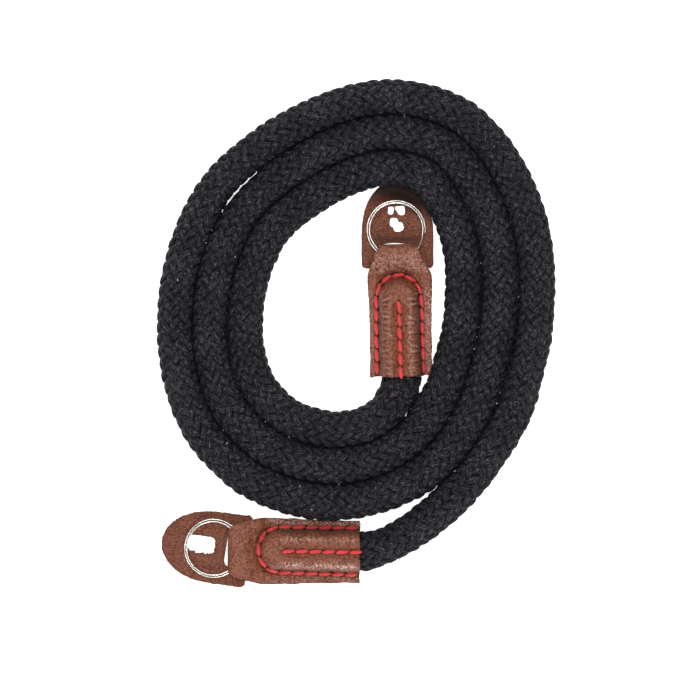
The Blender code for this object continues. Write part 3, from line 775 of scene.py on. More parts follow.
def make_leather_end(name, placed, material, end):
    """A leather end: one strip from the upper mouth edge, over the fold at the ring and back below."""
    step = 0.24 * MM
    corner_from = LEATHER_LENGTH - FOLD_CORNER + end["fold_shift"]
    top_u = np.arange(0, corner_from, step)
    corner_u, corner_z = [], []
    for centre_height, first_angle in ((NECK_HEIGHT - FOLD_CORNER, 90), (FOLD_CORNER, 0)):
        for angle in np.linspace(first_angle, first_angle - 90, 9):
            corner_u.append(corner_from + FOLD_CORNER * cos(radians(angle)))
            corner_z.append(centre_height + FOLD_CORNER * sin(radians(angle)))
    under_u = np.linspace(corner_from, 0, 40)[1:]
    row_u = np.concatenate([top_u, corner_u, under_u])
    fixed_z = np.concatenate([np.full(len(top_u), np.nan), corner_z, np.zeros(len(under_u))])
    shares = np.concatenate([[-1.0], np.linspace(-0.985, 0.985, 81), [1.0]])
    u = np.repeat(row_u[:, None], len(shares), axis=1)
    v = half_width_at(u, end["side"], shares) * shares
    seed = end["seed"]
    wobble = 0.06 * MM * ripples(row_u, 0 * row_u, 6 * MM, seed + 7)
    wobble += 0.03 * MM * ripples(row_u, 0 * row_u, 1.6 * MM, seed + 8)
    past_fold = smooth_step((corner_from - under_u) / (9 * MM))
    under = np.concatenate([np.zeros(len(top_u) + len(corner_u)), past_fold])
    v = v + shares ** 3 * wobble[:, None] + np.clip(shares, 0, 1) ** 3 * end["under_shows"] * under[:, None]
    z = np.where(np.isnan(fixed_z)[:, None], leather_top(u, v), np.nan_to_num(fixed_z)[:, None])
    ragged = 0.14 * MM * ripples(v, 0 * v, 4 * MM, seed + 9)
    ragged += 0.05 * MM * ripples(v, 0 * v, 1.2 * MM, seed + 10)
    u = u + (ragged - 0.1 * MM + end["mouth"]) * np.clip(1 - u / (3 * MM), 0, 1)
    plain = np.stack([u, v, z], axis=-1)
    normal = np.cross(np.gradient(plain, axis=0), np.gradient(plain, axis=1))
    normal /= np.maximum(np.linalg.norm(normal, axis=-1), 1e-12)[..., None]
    on_top = np.isnan(fixed_z)[:, None] * smooth_step((corner_from - u) / (2 * MM))
    relief, shade, painted_glint, painted_ridge_glint = (value * on_top for value in leather_relief(u, v, end))
    outer = plain + normal * relief[..., None]
    inner = plain - normal * LEATHER_THICKNESS
    inner[..., 2] = np.maximum(inner[..., 2], 0.05 * MM)

    rows, columns = u.shape
    travelled = distances_along(plain[:, columns // 2])
    rings = np.concatenate([outer, inner[:, ::-1]], axis=1)
    # The painted shade and painted highlights go onto the mesh as named values
    tones = {
        word: np.concatenate([value, np.zeros_like(value)], axis=1).ravel()
        for word, value in (("shade", shade), ("painted_glint", painted_glint), ("painted_ridge_glint", painted_ridge_glint))
    }
    sides = 2 * columns
    quads, places = tube_faces(rows, sides, 0)
    side_share = np.concatenate([shares * 9.4, shares[::-1] * 9.4 + 40, [12.0]])
    corner_uvs = np.column_stack([travelled[places[:, 0]] / MM, side_share[places[:, 1]]])
    faces = quads.tolist()
    uvs = [corner_uvs]
    for row in (0, rows - 1):
        first = row * sides
        for column in range(columns - 1):
            far = sides - 1 - column
            face = [first + column, first + far, first + far - 1, first + column + 1]
            faces.append(face if row == 0 else face[::-1])
            uvs.append(np.tile([travelled[row] / MM, 80.0], (4, 1)))
    return mesh_object(name, rings.reshape(-1, 3), faces, material, np.vstack(uvs), placed, **tones)


def stitch_centre(stitch, share, slant, end):
    """A stitch's middle line: it lies on the leather, rises a little and dives into its holes."""
    start, leg = stitch[0], stitch[1] - stitch[0]
    along = leg / np.linalg.norm(leg)
    reach = 0.2 * MM
    path = start - along * reach + np.outer(share, leg + 2 * reach * along)
    path += np.outer((share - 0.5) * 2 * slant, (-along[1], along[0]))
    relief = leather_relief(path[:, 0], path[:, 1], end)[0]
    surface = leather_top(np.maximum(path[:, 0], 0), path[:, 1]) + relief
    chord = np.interp(share, [0, 0.2, 0.8, 1], surface[[0, 3, 13, 16]])
    from_middle = 2 * share - 1
    rise = THREAD_HEIGHT * 0.45 * np.sqrt(np.clip(1 - from_middle ** 4, 0, 1)) - 0.35 * MM * from_middle ** 8
    return np.column_stack([path, np.maximum(chord, surface + 0.05 * MM) + rise + 0.08 * MM])


def make_stitches(name, placed, material, end):
    """The thread that shows on the upper face, in short twisted lengths."""
    tube = TubeMesh()
    turns = 2 * pi * np.arange(12) / 12
    random = np.random.default_rng(end["seed"])
    share = np.linspace(0, 1, 17)
    swell = np.sqrt(np.clip(1 - np.abs(2 * share - 1) ** 2.6, 0, 1)) * 0.84 + 0.16
    for line in (u_seam(end), centre_seam(end)):
        for stitch in seam_stitches(line):
            slant = STITCH_SLANT + random.normal(0, 0.05 * MM)
            centre = stitch_centre(stitch, share, slant, end)
            section = []
            for angle in turns:
                size = swell * (1 + 0.09 * np.cos(3 * (angle - 5.0 * share)))
                section.append((THREAD_WIDTH / 2 * size * cos(angle), THREAD_HEIGHT / 2 * size * sin(angle)))
            upward = np.tile([0.0, 0.0, 1.0], (len(share), 1))
            rings = swept(centre, *frames_along(centre, upward), section)
            tube.add(rings, share * 3.2, uv_shift=float(random.integers(50)))
    return tube.make(name, material, placed)


def pad_half_width(x):
    """Half the pad's width at a distance from its straight end."""
    share = (x / PAD_LENGTH - PAD_STRAIGHT) / (1 - PAD_STRAIGHT)
    tip = np.sqrt(np.clip(1 - np.clip(share, 0, 1) ** PAD_ROUNDNESS, 0, 1))
    square = np.clip((PAD_CORNER - x) / PAD_CORNER, 0, 1)
    return PAD_WIDTH / 2 * tip - PAD_CORNER * (1 - np.sqrt(1 - square ** 2))


def distance_to_loop(x, y, loop):
    """Each point's distance inside a closed outline, negative outside it."""
    nearest = np.full(np.shape(x), 1.0)
    inside = np.zeros(np.shape(x), bool)
    for a, b in zip(loop, np.roll(loop, -1, axis=0)):
        nearest = np.minimum(nearest, distance_to_leg(x, y, a, b))
        crosses = (a[1] > y) != (b[1] > y)
        if a[1] != b[1]:
            inside ^= crosses & (x < a[0] + (y - a[1]) / (b[1] - a[1]) * (b[0] - a[0]))
    return np.where(inside, nearest, -nearest)


def rounded_box(x, y, first, last, half_width, corner):
    """Each point's distance inside a box along X with round corners, negative outside it."""
    middle, half = (first + last) / 2, (last - first) / 2
    dx = np.abs(x - middle) - (half - corner)
    dy = np.abs(y) - (half_width - corner)
    outside = np.hypot(np.maximum(dx, 0), np.maximum(dy, 0)) + np.minimum(np.maximum(dx, dy), 0)
    return corner - outside


def pad_outline():
    """The tongue's outline as close points."""
    x = np.concatenate([
        PAD_CORNER * (1 - np.cos(np.radians(np.linspace(0, 90, 8)))),
        PAD_LENGTH * (PAD_STRAIGHT + (1 - PAD_STRAIGHT) * np.sin(np.radians(np.linspace(0, 90, 60)))),
    ])
    half = pad_half_width(x)
    return np.vstack([np.column_stack([x, half]), np.column_stack([x, -half])[::-1]])


def slit_depth(x, y, end):
    """How far each point is inside the slit round the leather's fold, negative outside it."""
    turn = radians(end["pad_turn"])
    beyond = (x - PAD_UNDER_NECK) * cos(turn) - y * sin(turn)
    across = (x - PAD_UNDER_NECK) * sin(turn) + y * cos(turn)
    if end["side"] == "outer":
        opening = np.interp(across / MM, *OUTER_SLIT_OPENING)
    else:
        opening = 0.34 * np.clip(1 - ((across - 1.0 * MM) / (3.1 * MM)) ** 2, 0, 1)
    along = np.minimum(0.05 * MM + opening * MM + end["fold_shift"] - beyond, beyond + FOLD_CORNER)
    return np.minimum(along, half_width_at(LEATHER_LENGTH, end["side"], across) + 0.04 * MM - np.abs(across))


def outer_hole_depth(x, y, rough, end):
    """How far each point is inside the outer pad's lug hole, which is torn along its left side."""
    first = slit_edges(end["pad_turn"])[1] + LUG_HOLE_FROM_SLIT
    lower, upper = OUTER_HOLE_SIDES
    middle, half = (lower + upper) / 2, (upper - lower) / 2
    cut = rounded_box(x, y - middle, first, first + LUG_HOLE_LENGTH, half, OUTER_HOLE_CORNER)
    torn = smooth_step(0.5 + y / (2 * MM))
    return cut + (0.04 + 0.14 * torn) * MM * (rough + ripples(x, y, 1.1 * MM, end["seed"] + 22))


def inner_hole_depth(x, y, rough, end):
    """How far each point is inside the inner pad's lug hole, which is a few small torn openings."""
    cut = np.full(np.shape(x), -1.0)
    for middle_x, middle_y, half_x, half_y, lean, corner, slanted in INNER_HOLES:
        dx, dy = x / MM - middle_x, y / MM - middle_y
        dx, dy = dx - lean * dy, dy + lean * dx
        piece = rounded_box(dx * MM, dy * MM, -half_x * MM, half_x * MM, half_y * MM, corner * MM)
        if slanted:
            piece = np.minimum(piece, 0.54 * (x - 18.2 * MM) - 0.84 * (y - 0.9 * MM))
        cut = np.maximum(cut, piece)
    return cut + 0.03 * MM * (rough + ripples(x, y, 1.0 * MM, end["seed"] + 22))


def pad_depth(x, y, end):
    """How far each point is inside the pad's leather, negative past its outline or in its slit or hole."""
    seed = end["seed"] + 20
    rough = 0.6 * ripples(x, y, 2.6 * MM, seed) + 0.4 * ripples(x, y, 0.9 * MM, seed + 1)
    edge = distance_to_loop(x, y, pad_outline()) + end["pad_roughness"] * rough
    hole_depth = outer_hole_depth if end["side"] == "outer" else inner_hole_depth
    return np.minimum(np.minimum(edge, -slit_depth(x, y, end)), -hole_depth(x, y, rough, end))


def pad_grid(end):
    """A fine grid over the pad, with the points near an edge moved onto it, and each point's depth inside."""
    x = np.arange(-PAD_BORDER, PAD_LENGTH + PAD_BORDER, PAD_GRID)
    y = np.arange(-PAD_WIDTH / 2 - PAD_BORDER, PAD_WIDTH / 2 + PAD_BORDER, PAD_GRID)
    x, y = np.meshgrid(x, y, indexing="ij")
    depth = pad_depth(x, y, end)
    near = 0.02 * MM
    for _ in range(3):
        slope_x = (pad_depth(x + near, y, end) - pad_depth(x - near, y, end)) / (2 * near)
        slope_y = (pad_depth(x, y + near, end) - pad_depth(x, y - near, end)) / (2 * near)
        steep = np.maximum(np.hypot(slope_x, slope_y), 0.5)
        near_edge = (depth < 0.25 * PAD_GRID) & (depth > -1.2 * PAD_GRID)
        move = np.where(near_edge, -depth / steep ** 2, 0)
        x, y = x + move * slope_x, y + move * slope_y
        depth = pad_depth(x, y, end)
    return x, y, depth


def pad_shade(x, y, depth, end):
    """How dark the pad is: at its cut edges, and on the inner one painted shadow toward its tip and beside
    the fold.
    """
    # Painted shadow of the rope on the inner pad's tip, and painted shade beside the fold
    painted_shadow = 0.06 + 0.98 * smooth_step((x - y * PAINTED_SHADOW_LEAN - PAINTED_SHADOW_FROM) / PAINTED_SHADOW_OVER)
    painted_fold_shade = bell(x - PAD_UNDER_NECK - 2.3 * MM, 0.8 * MM)
    painted_shadow += 0.45 * painted_fold_shade * smooth_step(4 - np.abs(y) / (1.9 * MM))
    return end["pad_tip_shade"] * painted_shadow + 0.25 * np.exp(-depth / (0.5 * MM))


def make_pad(name, placed, material, end):
    """A lug pad with soft rounded edges, and the points on its rim: two faces of a cut grid, joined there."""
    seed = end["seed"] + 20
    x, y, depth = pad_grid(end)
    kept = depth > -0.12 * PAD_GRID
    cells = kept[:-1, :-1] & kept[1:, :-1] & kept[1:, 1:] & kept[:-1, 1:]
    index = np.arange(x.size).reshape(x.shape)
    quads = np.stack([index[:-1, :-1], index[1:, :-1], index[1:, 1:], index[:-1, 1:]], axis=-1)[cells]
    used, small = np.unique(quads, return_inverse=True)
    small = small.reshape(quads.shape)
    px, py, pd = x.ravel()[used], y.ravel()[used], np.maximum(depth.ravel()[used], 0)
    count = len(used)
    sides = np.concatenate([small[:, [a, b]] for a, b in ((0, 1), (1, 2), (2, 3), (3, 0))])
    pairs = {(int(a), int(b)) for a, b in sides}
    rim = sorted((a, b) for a, b in pairs if (b, a) not in pairs)
    on_rim = np.zeros(count, bool)
    on_rim[np.array(rim).ravel()] = True

    rounding = np.sqrt(np.clip(1 - np.clip(1 - pd / PAD_EDGE_ROUNDING, 0, 1) ** 2, 0, 1))
    rounding = np.where(on_rim, 0.35, np.maximum(rounding, 0.5))
    warp = 0.10 * MM * ripples(px, py, 9 * MM, seed + 4)
    nap = 0.035 * MM * ripples(px, py, 0.8 * MM, seed + 5, 20)
    half = PAD_THICKNESS / 2 * rounding
    upper = np.column_stack([px, py, warp + half + nap])
    lower = np.column_stack([px, py, warp - half])
    points = np.vstack([upper, lower])
    faces = small.tolist() + (small[:, ::-1] + count).tolist()
    faces += [[b, a, a + count, b + count] for a, b in rim]
    corners = np.concatenate([np.array(face) for face in faces])
    uvs = points[corners][:, :2] / MM
    shade = np.tile(pad_shade(px, py, pd, end), 2)
    item = mesh_object(name, points, faces, material, uvs, placed, shade=shade)
    return item, np.column_stack([px, py])[on_rim]


def add_fibre(tube, start, heading, bend, length, thickness, shade=0.0):
    """A thin three-sided hair that starts on a surface and bends as it goes."""
    share = np.linspace(0, 1, 5)[:, None]
    line = start + heading * length * share + bend * length * share ** 2
    across = np.cross(heading, bend)
    across /= max(np.linalg.norm(across), 1e-9)
    upward = np.cross(across, heading)
    width = thickness / 2 * (1 - 0.6 * share)
    rings = [line + (across * cos(turn) + upward * sin(turn)) * width for turn in (0, 2 * pi / 3, 4 * pi / 3)]
    tube.add(np.stack(rings, axis=1), share[:, 0], shade=np.full(len(share), shade))


def make_pad_fuzz(name, placed, rim, end, material):
    """Loose fibres along a pad's cut edges, most of them on one long side."""
    random = np.random.default_rng(end["seed"] + 40)
    tube = TubeMesh()
    middle = np.array([PAD_LENGTH * 0.5, 0.0])
    weight = np.where(rim[:, 1] < 0, 1.0, 0.35)
    for place in rim[random.choice(len(rim), end["fuzz"], p=weight / weight.sum())]:
        away = unit(place - middle)
        heading = unit(np.array([*(away + random.normal(0, 0.5, 2)), random.normal(0, 0.35)]))
        bend = random.normal(0, 0.5, 3)
        start = np.array([*(place - away * 0.1 * MM), random.uniform(-0.25, 0.3) * MM])
        add_fibre(tube, start, heading, bend, random.uniform(0.25, 0.95) * MM, PAD_FIBRE_THICKNESS)
    item = tube.make(name, material, placed)
    for point in item.data.vertices:
        point.co.z = max(point.co.z, 0.02 * MM)
    return item


def make_rope_fuzz(rope, material):
    """Short loose fibres that stand a little off the braid."""
    random = np.random.default_rng(12)
    tube = TubeMesh()
    travelled = random.uniform(ROPE_REACH + 1 * MM, rope.length - ROPE_REACH - 1 * MM, ROPE_FIBRES)
    angle = random.uniform(-0.9, pi + 0.9, len(travelled))
    inner = rope.around(travelled, angle, ROPE_OUTSIDE - 0.3 * MM)
    outer = rope.around(travelled, angle, ROPE_OUTSIDE)
    _, ahead, _ = rope.place(travelled)
    for start, end, (ahead_x, ahead_y) in zip(inner, outer, ahead):
        outward = unit(end - start)
        forward = np.array([ahead_x, ahead_y, 0.0]) * random.choice([-1, 1])
        heading = outward * random.uniform(0.4, 1.0) + forward * random.uniform(0.2, 1.2)
        heading = unit(heading + random.normal(0, 0.3, 3))
        bend = forward * 0.4 - outward * random.uniform(0.3, 0.7)
        add_fibre(tube, start, heading, bend, random.uniform(0.5, 1.1) * MM, ROPE_FIBRE_THICKNESS)
    return tube.make("rope_fuzz", material)


def make_lint(rope, material):
    """A few specks of brown and pale lint that cling to the braid."""
    random = np.random.default_rng(9)
    tube = TubeMesh()
    for pale, pixels in ((0.0, BROWN_LINT), (1.0, PALE_LINT)):
        for pixel in pixels:
            x, y = pixel_place(*pixel)
            away = np.hypot(rope.route[:, 0] - x, rope.route[:, 1] - y).min()
            lift = sqrt(max(1 - (away / ROPE_OUTSIDE) ** 2, 0))
            start = np.array([x, y, ROPE_OUTSIDE * (1 + lift) - 0.1 * MM])
            heading = unit(np.array([*random.normal(0, 1, 2), 0.1]))
            bend = random.normal(0, 0.6, 3) * (1, 1, 0.2)
            add_fibre(tube, start, heading, bend, random.uniform(0.4, 0.7) * MM, LINT_THICKNESS, pale)
    return tube.make("lint", material)


def ring_centre():
    """The ring's distance from the leather's mouth."""
    clear_radius = RING_DIAMETER / 2 - RING_WIRE - GAP
    return LEATHER_LENGTH - LEATHER_THICKNESS + sqrt(clear_radius ** 2 - (FOLD_WIDTH / 2) ** 2)


def make_split_ring(name, placed, material):
    """A split ring: two turns of wire with a step between them, and flat cut ends."""
    angle = np.radians(np.arange(RING_STEP / 2, 720 - RING_STEP / 2 + 0.1, 3.0))
    rise = smooth_step((np.degrees(angle) - 360 + RING_STEP / 2) / RING_STEP)
    radius = (RING_DIAMETER - RING_WIRE) / 2 - RING_DRAWN_IN + RING_TURNS_APART * (0.5 - rise)
    line = np.column_stack([radius * np.cos(angle), radius * np.sin(angle), RING_LIFT * rise])
    outward = np.column_stack([np.cos(angle), np.sin(angle), 0 * angle])
    section = []
    for side in range(RING_SIDES):
        turn = 2 * pi * side / RING_SIDES
        across = RING_WIRE_WIDTH / 2 * np.sign(cos(turn)) * abs(cos(turn)) ** 0.75
        section.append((RING_WIRE / 2 * sin(turn), across))
    tube = TubeMesh()
    tube.add(swept(line, *frames_along(line, outward), section), np.degrees(angle) / 10)
    return tube.make(name, material, placed)


class Shader:
    """A material's node tree, built up from a few kinds of node."""

    def __init__(self, name, **values):
        self.material = bpy.data.materials.new(name)
        self.material.use_nodes = True
        self.tree = self.material.node_tree
        self.surface = self.tree.nodes["Principled BSDF"]
        for key, value in values.items():
            self.surface.inputs[key.replace("_", " ").title().replace("Ior", "IOR")].default_value = value

    def node(self, kind, inputs=(), output=0, **settings):
        """A new node with its inputs linked or set; gives one of its outputs."""
        item = self.tree.nodes.new(kind)
        for key, value in settings.items():
            setattr(item, key, value)
        for key, value in dict(inputs).items():
            self.put(item.inputs[key], value)
        return item.outputs[output]

    def put(self, socket, value):
        if isinstance(value, bpy.types.NodeSocket):
            self.tree.links.new(value, socket)
        elif isinstance(value, tuple) and len(value) == 3 and socket.type == "RGBA":
            socket.default_value = (*value, 1)
        else:
            socket.default_value = value

    def uv(self):
        return self.node("ShaderNodeTexCoord", output=2)

    def places(self):
        """Places on the object, in metres."""
        return self.node("ShaderNodeTexCoord", output=3)

    def named(self, word):
        """The value that each point of the mesh has under a name."""
        return self.node("ShaderNodeAttribute", output=2, attribute_name=word)

    def parts(self, vector):
        """A vector's first two numbers."""
        split = self.tree.nodes.new("ShaderNodeSeparateXYZ")
        self.put(split.inputs[0], vector)
        return split.outputs[0], split.outputs[1]

    def math(self, operation, a, b=0.0, clamp=False):
        return self.node("ShaderNodeMath", {0: a, 1: b}, operation=operation, use_clamp=clamp)

    def plus(self, a, b, clamp=False):
        return self.math("ADD", a, b, clamp)

    def times(self, a, b):
        return self.math("MULTIPLY", a, b)

    def mix(self, factor, a, b):
        return self.node("ShaderNodeMix", {0: factor, 6: a, 7: b}, output=2, data_type="RGBA")

    def ramp(self, value, low, high, start=0.0, end=1.0):
        """The value mapped from low..high to start..end and kept there."""
        return self.node("ShaderNodeMapRange", {0: value, 1: low, 2: high, 3: start, 4: end})

    def noise(self, vector, scale, detail=2.0, roughness=0.5, output=0):
        inputs = {"Vector": vector, "Scale": scale, "Detail": detail, "Roughness": roughness}
        return self.node("ShaderNodeTexNoise", inputs, output)

    def stretch(self, vector, x, y):
        return self.node("ShaderNodeMapping", {"Vector": vector, "Scale": (x, y, 1.0)})

    def finish(self, colour, bumps=None, bump_distance=0.0, roughness=None):
        """Gives the surface its colour, its bumps and its roughness."""
        self.put(self.surface.inputs["Base Color"], colour)
        if bumps is not None:
            normal = self.node("ShaderNodeBump", {"Height": bumps, "Distance": bump_distance})
            self.put(self.surface.inputs["Normal"], normal)
        if roughness is not None:
            self.put(self.surface.inputs["Roughness"], roughness)
        return self.material


def braid_material():
    """Matt black yarn, each strand many thin yarns side by side; its paler top dashes are partly worn yarn,
    partly painted highlight.
    """
    s = Shader("black_braid", roughness=0.6, specular_ior_level=0.16)
    uv = s.uv()
    _, around = s.parts(uv)
    places = s.places()
    under = s.named("shade")
    yarn = s.times(around, 15.0)
    ridge = s.math("SINE", s.times(s.math("FRACT", yarn), pi))
    dashes = s.noise(s.stretch(uv, 1.1, 19.0), 1.0, 2.0, 0.55)
    fine = s.noise(s.stretch(uv, 3.0, 42.0), 1.0, 2.0, 0.6)
    height = s.plus(s.times(ridge, 0.4), s.times(dashes, 1.1))
    height = s.plus(height, s.times(fine, 0.6))
    fleck = s.plus(dashes, s.times(fine, 0.5))
    fleck = s.plus(fleck, s.times(ridge, 0.08))
    patches = s.noise(places, 120.0, 3.0, 0.6)
    fleck = s.plus(fleck, s.times(patches, 0.2))
    # Painted shade from the strands' shade values dims the pale dashes and darkens the base
    lit = s.math("SUBTRACT", 1.0, s.times(under, 0.55), clamp=True)
    pale = s.times(s.ramp(fleck, 0.92, 1.16), lit)
    base = s.mix(under, (0.0050, 0.0046, 0.0066), (0.0020, 0.0018, 0.0028))
    # The pale dashes: partly worn yarn, partly painted highlight
    colour = s.mix(pale, base, (0.114, 0.106, 0.128))
    return s.finish(colour, height, 0.25 * MM)


def core_material():
    """The shadowed filling seen between the strands."""
    s = Shader("rope_filling", roughness=0.95, specular_ior_level=0.1)
    places = s.places()
    grain = s.noise(places, 900.0, 3.0)
    colour = s.mix(grain, (0.003, 0.003, 0.004), (0.010, 0.009, 0.012))
    return s.finish(colour, grain, 0.1 * MM)


def leather_material():
    """Brown pebbled leather with darker cut edges, painted highlights on its grain and painted shade in
    creases and pits.
    """
    s = Shader("brown_leather", roughness=0.4, specular_ior_level=0.28)
    _, across = s.parts(s.uv())
    places = s.places()
    shade = s.named("shade")
    painted_glint = s.named("painted_glint")
    wander = s.noise(places, 420.0, output=1)
    reach = (1.2 * MM, 1.2 * MM, 1.2 * MM)
    warped = s.node("ShaderNodeVectorMath", {0: wander, 1: reach, 2: places}, operation="MULTIPLY_ADD")
    pebbles = {"Vector": warped, "Scale": 1350.0, "Smoothness": 0.25}
    grain = s.node("ShaderNodeTexVoronoi", pebbles, feature="SMOOTH_F1")
    rough = s.noise(places, 1500.0, 4.0, 0.65)
    broad = s.noise(places, 130.0, 3.0)
    height = s.math("SUBTRACT", s.times(rough, 0.7), s.times(grain, 0.85))
    high = s.ramp(height, -0.30, 0.22)
    dark = s.mix(broad, (0.092, 0.023, 0.010), (0.128, 0.036, 0.017))
    light = s.mix(broad, (0.212, 0.066, 0.033), (0.268, 0.090, 0.049))
    colour = s.mix(high, dark, light)
    # Painted highlights: pale glints on the grain over the lobes, margins and neck, and on the crease ridges
    painted_ridge_glint = s.named("painted_ridge_glint")
    specks = s.noise(places, 2300.0, 2.0, 0.5)
    gaps = s.node("ShaderNodeTexVoronoi", {"Vector": warped, "Scale": 950.0}, feature="DISTANCE_TO_EDGE")
    web = s.ramp(gaps, 0.13, 0.02)
    web = s.times(web, s.ramp(s.noise(places, 800.0), 0.42, 0.62))
    painted_glint_mask = s.ramp(s.plus(specks, s.times(high, 0.2)), 0.62, 0.80)
    painted_glint_mask = s.times(s.math("MAXIMUM", painted_glint_mask, web), painted_glint)
    painted_glint_mask = s.plus(painted_glint_mask, s.times(painted_ridge_glint, s.ramp(specks, 0.3, 0.6)), clamp=True)
    colour = s.mix(painted_glint_mask, colour, (0.64, 0.44, 0.37))
    # Painted shade in the seams, stitch holes, creases, on the sleeve's foot and in the neck's lines; the
    # edges are darker too
    colour = s.mix(s.times(shade, 0.85), colour, (0.020, 0.006, 0.004))
    cut = s.ramp(s.math("ABSOLUTE", across), 9.6, 10.6)
    flesh = s.mix(rough, (0.20, 0.080, 0.052), (0.36, 0.165, 0.115))
    colour = s.mix(cut, colour, flesh)
    rim = s.ramp(across, 70.0, 75.0)
    colour = s.mix(rim, colour, (0.050, 0.018, 0.011))
    roughness = s.ramp(high, 0.0, 1.0, 0.55, 0.32)
    roughness = s.plus(roughness, s.times(shade, 0.9), clamp=True)
    return s.finish(colour, height, 0.25 * MM, roughness)


def suede_material():
    """Rough reddish brown suede with a flecked nap."""
    s = Shader("brown_suede", roughness=0.95, specular_ior_level=0.15, sheen_weight=0.35, sheen_roughness=0.5)
    s.surface.inputs["Sheen Tint"].default_value = (0.9, 0.55, 0.42, 1)
    places = s.places()
    nap = s.noise(s.stretch(places, 1.0, 1.7), 1500.0, 4.0, 0.7)
    flecks = s.noise(places, 2600.0, 2.0, 0.6)
    broad = s.noise(places, 220.0, 3.0)
    dark = s.mix(broad, (0.048, 0.013, 0.008), (0.078, 0.023, 0.014))
    light = s.mix(broad, (0.190, 0.069, 0.042), (0.265, 0.106, 0.068))
    tone = s.ramp(s.plus(s.times(nap, 0.7), s.times(flecks, 0.3)), 0.40, 0.62)
    colour = s.mix(tone, dark, light)
    # Painted shadow and shade from the mesh's shade values, and darker cut edges
    shade = s.named("shade")
    colour = s.mix(s.times(shade, 0.92), colour, (0.013, 0.008, 0.007))
    height = s.plus(nap, s.times(flecks, 0.5))
    return s.finish(colour, height, 0.2 * MM)


def lint_material():
    """Brown and pale lint."""
    s = Shader("lint", roughness=0.8, specular_ior_level=0.2)
    pale = s.named("shade")
    tone = s.noise(s.places(), 900.0)
    brown = s.mix(tone, (0.16, 0.045, 0.02), (0.34, 0.12, 0.06))
    return s.finish(s.mix(pale, brown, (0.8, 0.78, 0.8)))


def thread_material():
    """Bright red thread of three plies."""
    s = Shader("red_thread", roughness=0.5, specular_ior_level=0.4, sheen_weight=0.2)
    uv = s.uv()
    along, around = s.parts(uv)
    lay = s.plus(s.times(along, 2.6), s.times(around, 3.0))
    ply = s.plus(s.times(s.math("SINE", s.times(lay, 2 * pi)), 0.5), 0.5)
    fibre = s.noise(s.stretch(uv, 3.0, 20.0), 3.0, 2.0)
    height = s.plus(ply, s.times(fibre, 0.4))
    colour = s.mix(s.ramp(height, 0.2, 1.1), (0.38, 0.010, 0.012), (0.80, 0.042, 0.044))
    return s.finish(colour, height, 0.08 * MM)


def steel_material():
    """Bright polished steel wire with fine drawn lines."""
    s = Shader("bright_steel", roughness=0.2, metallic=1.0)
    uv = s.uv()
    lines = s.noise(s.stretch(uv, 0.2, 60.0), 1.0, 2.0)
    spots = s.noise(s.places(), 700.0, 3.0)
    colour = s.mix(spots, (0.54, 0.522, 0.494), (0.72, 0.698, 0.66))
    return s.finish(colour, roughness=s.ramp(lines, 0.3, 0.7, 0.26, 0.34))


def floor_material():
    """A plain white studio floor that glows a little: painted light that whitens the shadows on it between
    the turns.
    """
    s = Shader("floor_white", roughness=0.9, specular_ior_level=0.1, emission_strength=FLOOR_GLOW)
    s.surface.inputs["Emission Color"].default_value = (1.0, 1.0, 1.0, 1)
    places = s.places()
    colour = s.mix(s.noise(places, 6.0), (0.86, 0.86, 0.86), (0.88, 0.88, 0.88))
    return s.finish(colour)


def make_camera():
    """A long lens straight above the strap, as in the photograph."""
    data = bpy.data.cameras.new("camera")
    data.sensor_width = SENSOR_WIDTH
    data.lens = SENSOR_WIDTH * CAMERA_HEIGHT / FRAME_WIDTH
    data.clip_start = 0.05
    data.clip_end = 20.0
    camera = add_object("camera", data)
    camera.location = (*FRAME_MIDDLE, CAMERA_HEIGHT)
    bpy.context.scene.camera = camera


def make_light(name, place, size, power):
    """A square softbox that faces the strap."""
    data = bpy.data.lights.new(name, "AREA")
    data.shape = "SQUARE"
    data.size = size
    data.energy = power
    light = add_object(name, data)
    light.location = place
    light.rotation_mode = "QUATERNION"
    light.rotation_quaternion = (Vector((0, 0.005, 0)) - Vector(place)).to_track_quat("-Z", "Y")


def make_studio():
    """A white floor that glows a little, a soft white sky, and a softbox behind, in front and overhead."""
    corners = [(x * FLOOR_HALF, y * FLOOR_HALF, -FLOOR_DROP) for x, y in ((-1, -1), (1, -1), (1, 1), (-1, 1))]
    floor_sheet = mesh_object("floor", corners, [[0, 1, 2, 3]], floor_material())
    world = bpy.data.worlds.new("soft_sky")
    world.use_nodes = True
    sky = world.node_tree.nodes["Background"]
    sky.inputs["Color"].default_value = (1.0, 1.0, 1.0, 1)
    sky.inputs["Strength"].default_value = SKY_STRENGTH
    scene = bpy.context.scene
    scene.world = world
    for name, (place, size, power) in SOFTBOXES.items():
        make_light(name, place, size, power)
    scene.view_settings.view_transform = "Standard"
    scene.view_settings.look = "None"
    scene.view_settings.exposure = 0.0


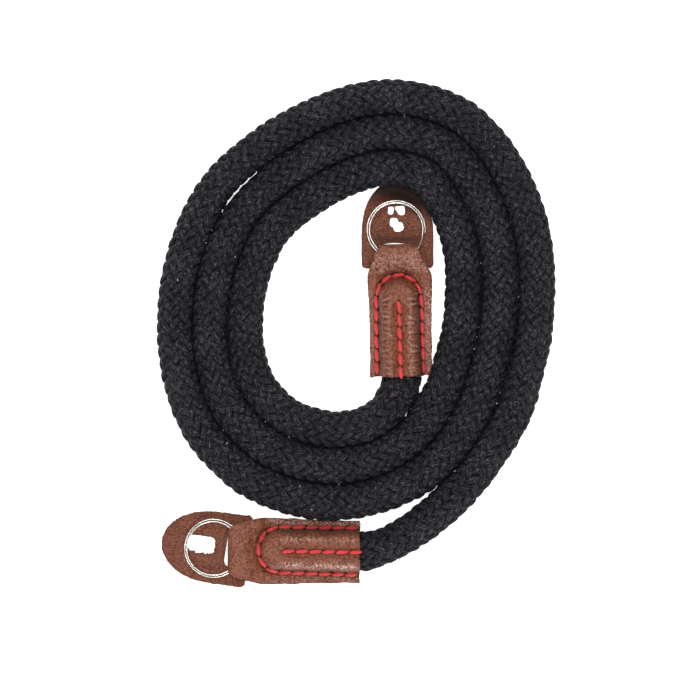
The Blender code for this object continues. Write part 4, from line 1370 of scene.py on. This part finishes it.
def dress(item, slot_name, *nodes):
    """Puts a piece on the object's body, over the CAD nodes that it stands for; slot_name is not used."""
    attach(item, "root")
    if nodes:
        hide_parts(*nodes)


def make_end(side, end, materials):
    """One end: leather, stitches, lug pad and split ring."""
    placed = end_frame(end)
    slope = pad_slope(end["pad_turn"])
    fold_height = slope * (PAD_LENGTH - PAD_UNDER_NECK)
    fold_at = Matrix.Translation((LEATHER_LENGTH, 0, fold_height))
    on_slope = placed @ fold_at @ Matrix.Rotation(atan(slope), 4, "Y")

    leather = make_leather_end(f"leather_{side}", placed, materials["leather"], end)
    dress(leather, "leather", f"leather_end_{side}")
    stitches = make_stitches(f"stitches_{side}", placed, materials["thread"], end)
    dress(stitches, "leather")
    turned = on_slope @ Matrix.Rotation(radians(end["pad_turn"]), 4, "Z")
    pad_place = turned @ Matrix.Translation((-PAD_UNDER_NECK, 0, PAD_THICKNESS / 2))
    pad, rim = make_pad(f"pad_{side}", pad_place, materials["suede"], end)
    dress(pad, "suede", f"lug_pad_{side}")
    fuzz = make_pad_fuzz(f"pad_fuzz_{side}", pad_place, rim, end, materials["suede"])
    dress(fuzz, "suede")
    along, across = end["ring_shift"]
    ring_at = (ring_centre() - LEATHER_LENGTH + along, across, PAD_THICKNESS + GAP + RING_WIRE / 2)
    ring_turn = Matrix.Rotation(radians(end["ring_step_at"]), 4, "Z")
    ring_place = on_slope @ Matrix.Translation(ring_at) @ ring_turn
    ring = make_split_ring(f"ring_{side}", ring_place, materials["steel"])
    dress(ring, "ring", f"split_ring_{side}")


def main():
    make_camera()
    materials = {
        "braid": braid_material(),
        "core": core_material(),
        "leather": leather_material(),
        "suede": suede_material(),
        "thread": thread_material(),
        "steel": steel_material(),
        "lint": lint_material(),
    }
    rope = Rope()
    core, path = make_core(rope, materials["core"])
    dress(core, "rope", "rope")
    strands = make_strands(rope, materials["braid"])
    fuzz = make_rope_fuzz(rope, materials["braid"])
    lint = make_lint(rope, materials["lint"])
    for piece in (*strands, fuzz, lint):
        dress(piece, "rope")
    for side, end in ENDS.items():
        make_end(side, end, materials)
    make_studio()


main()
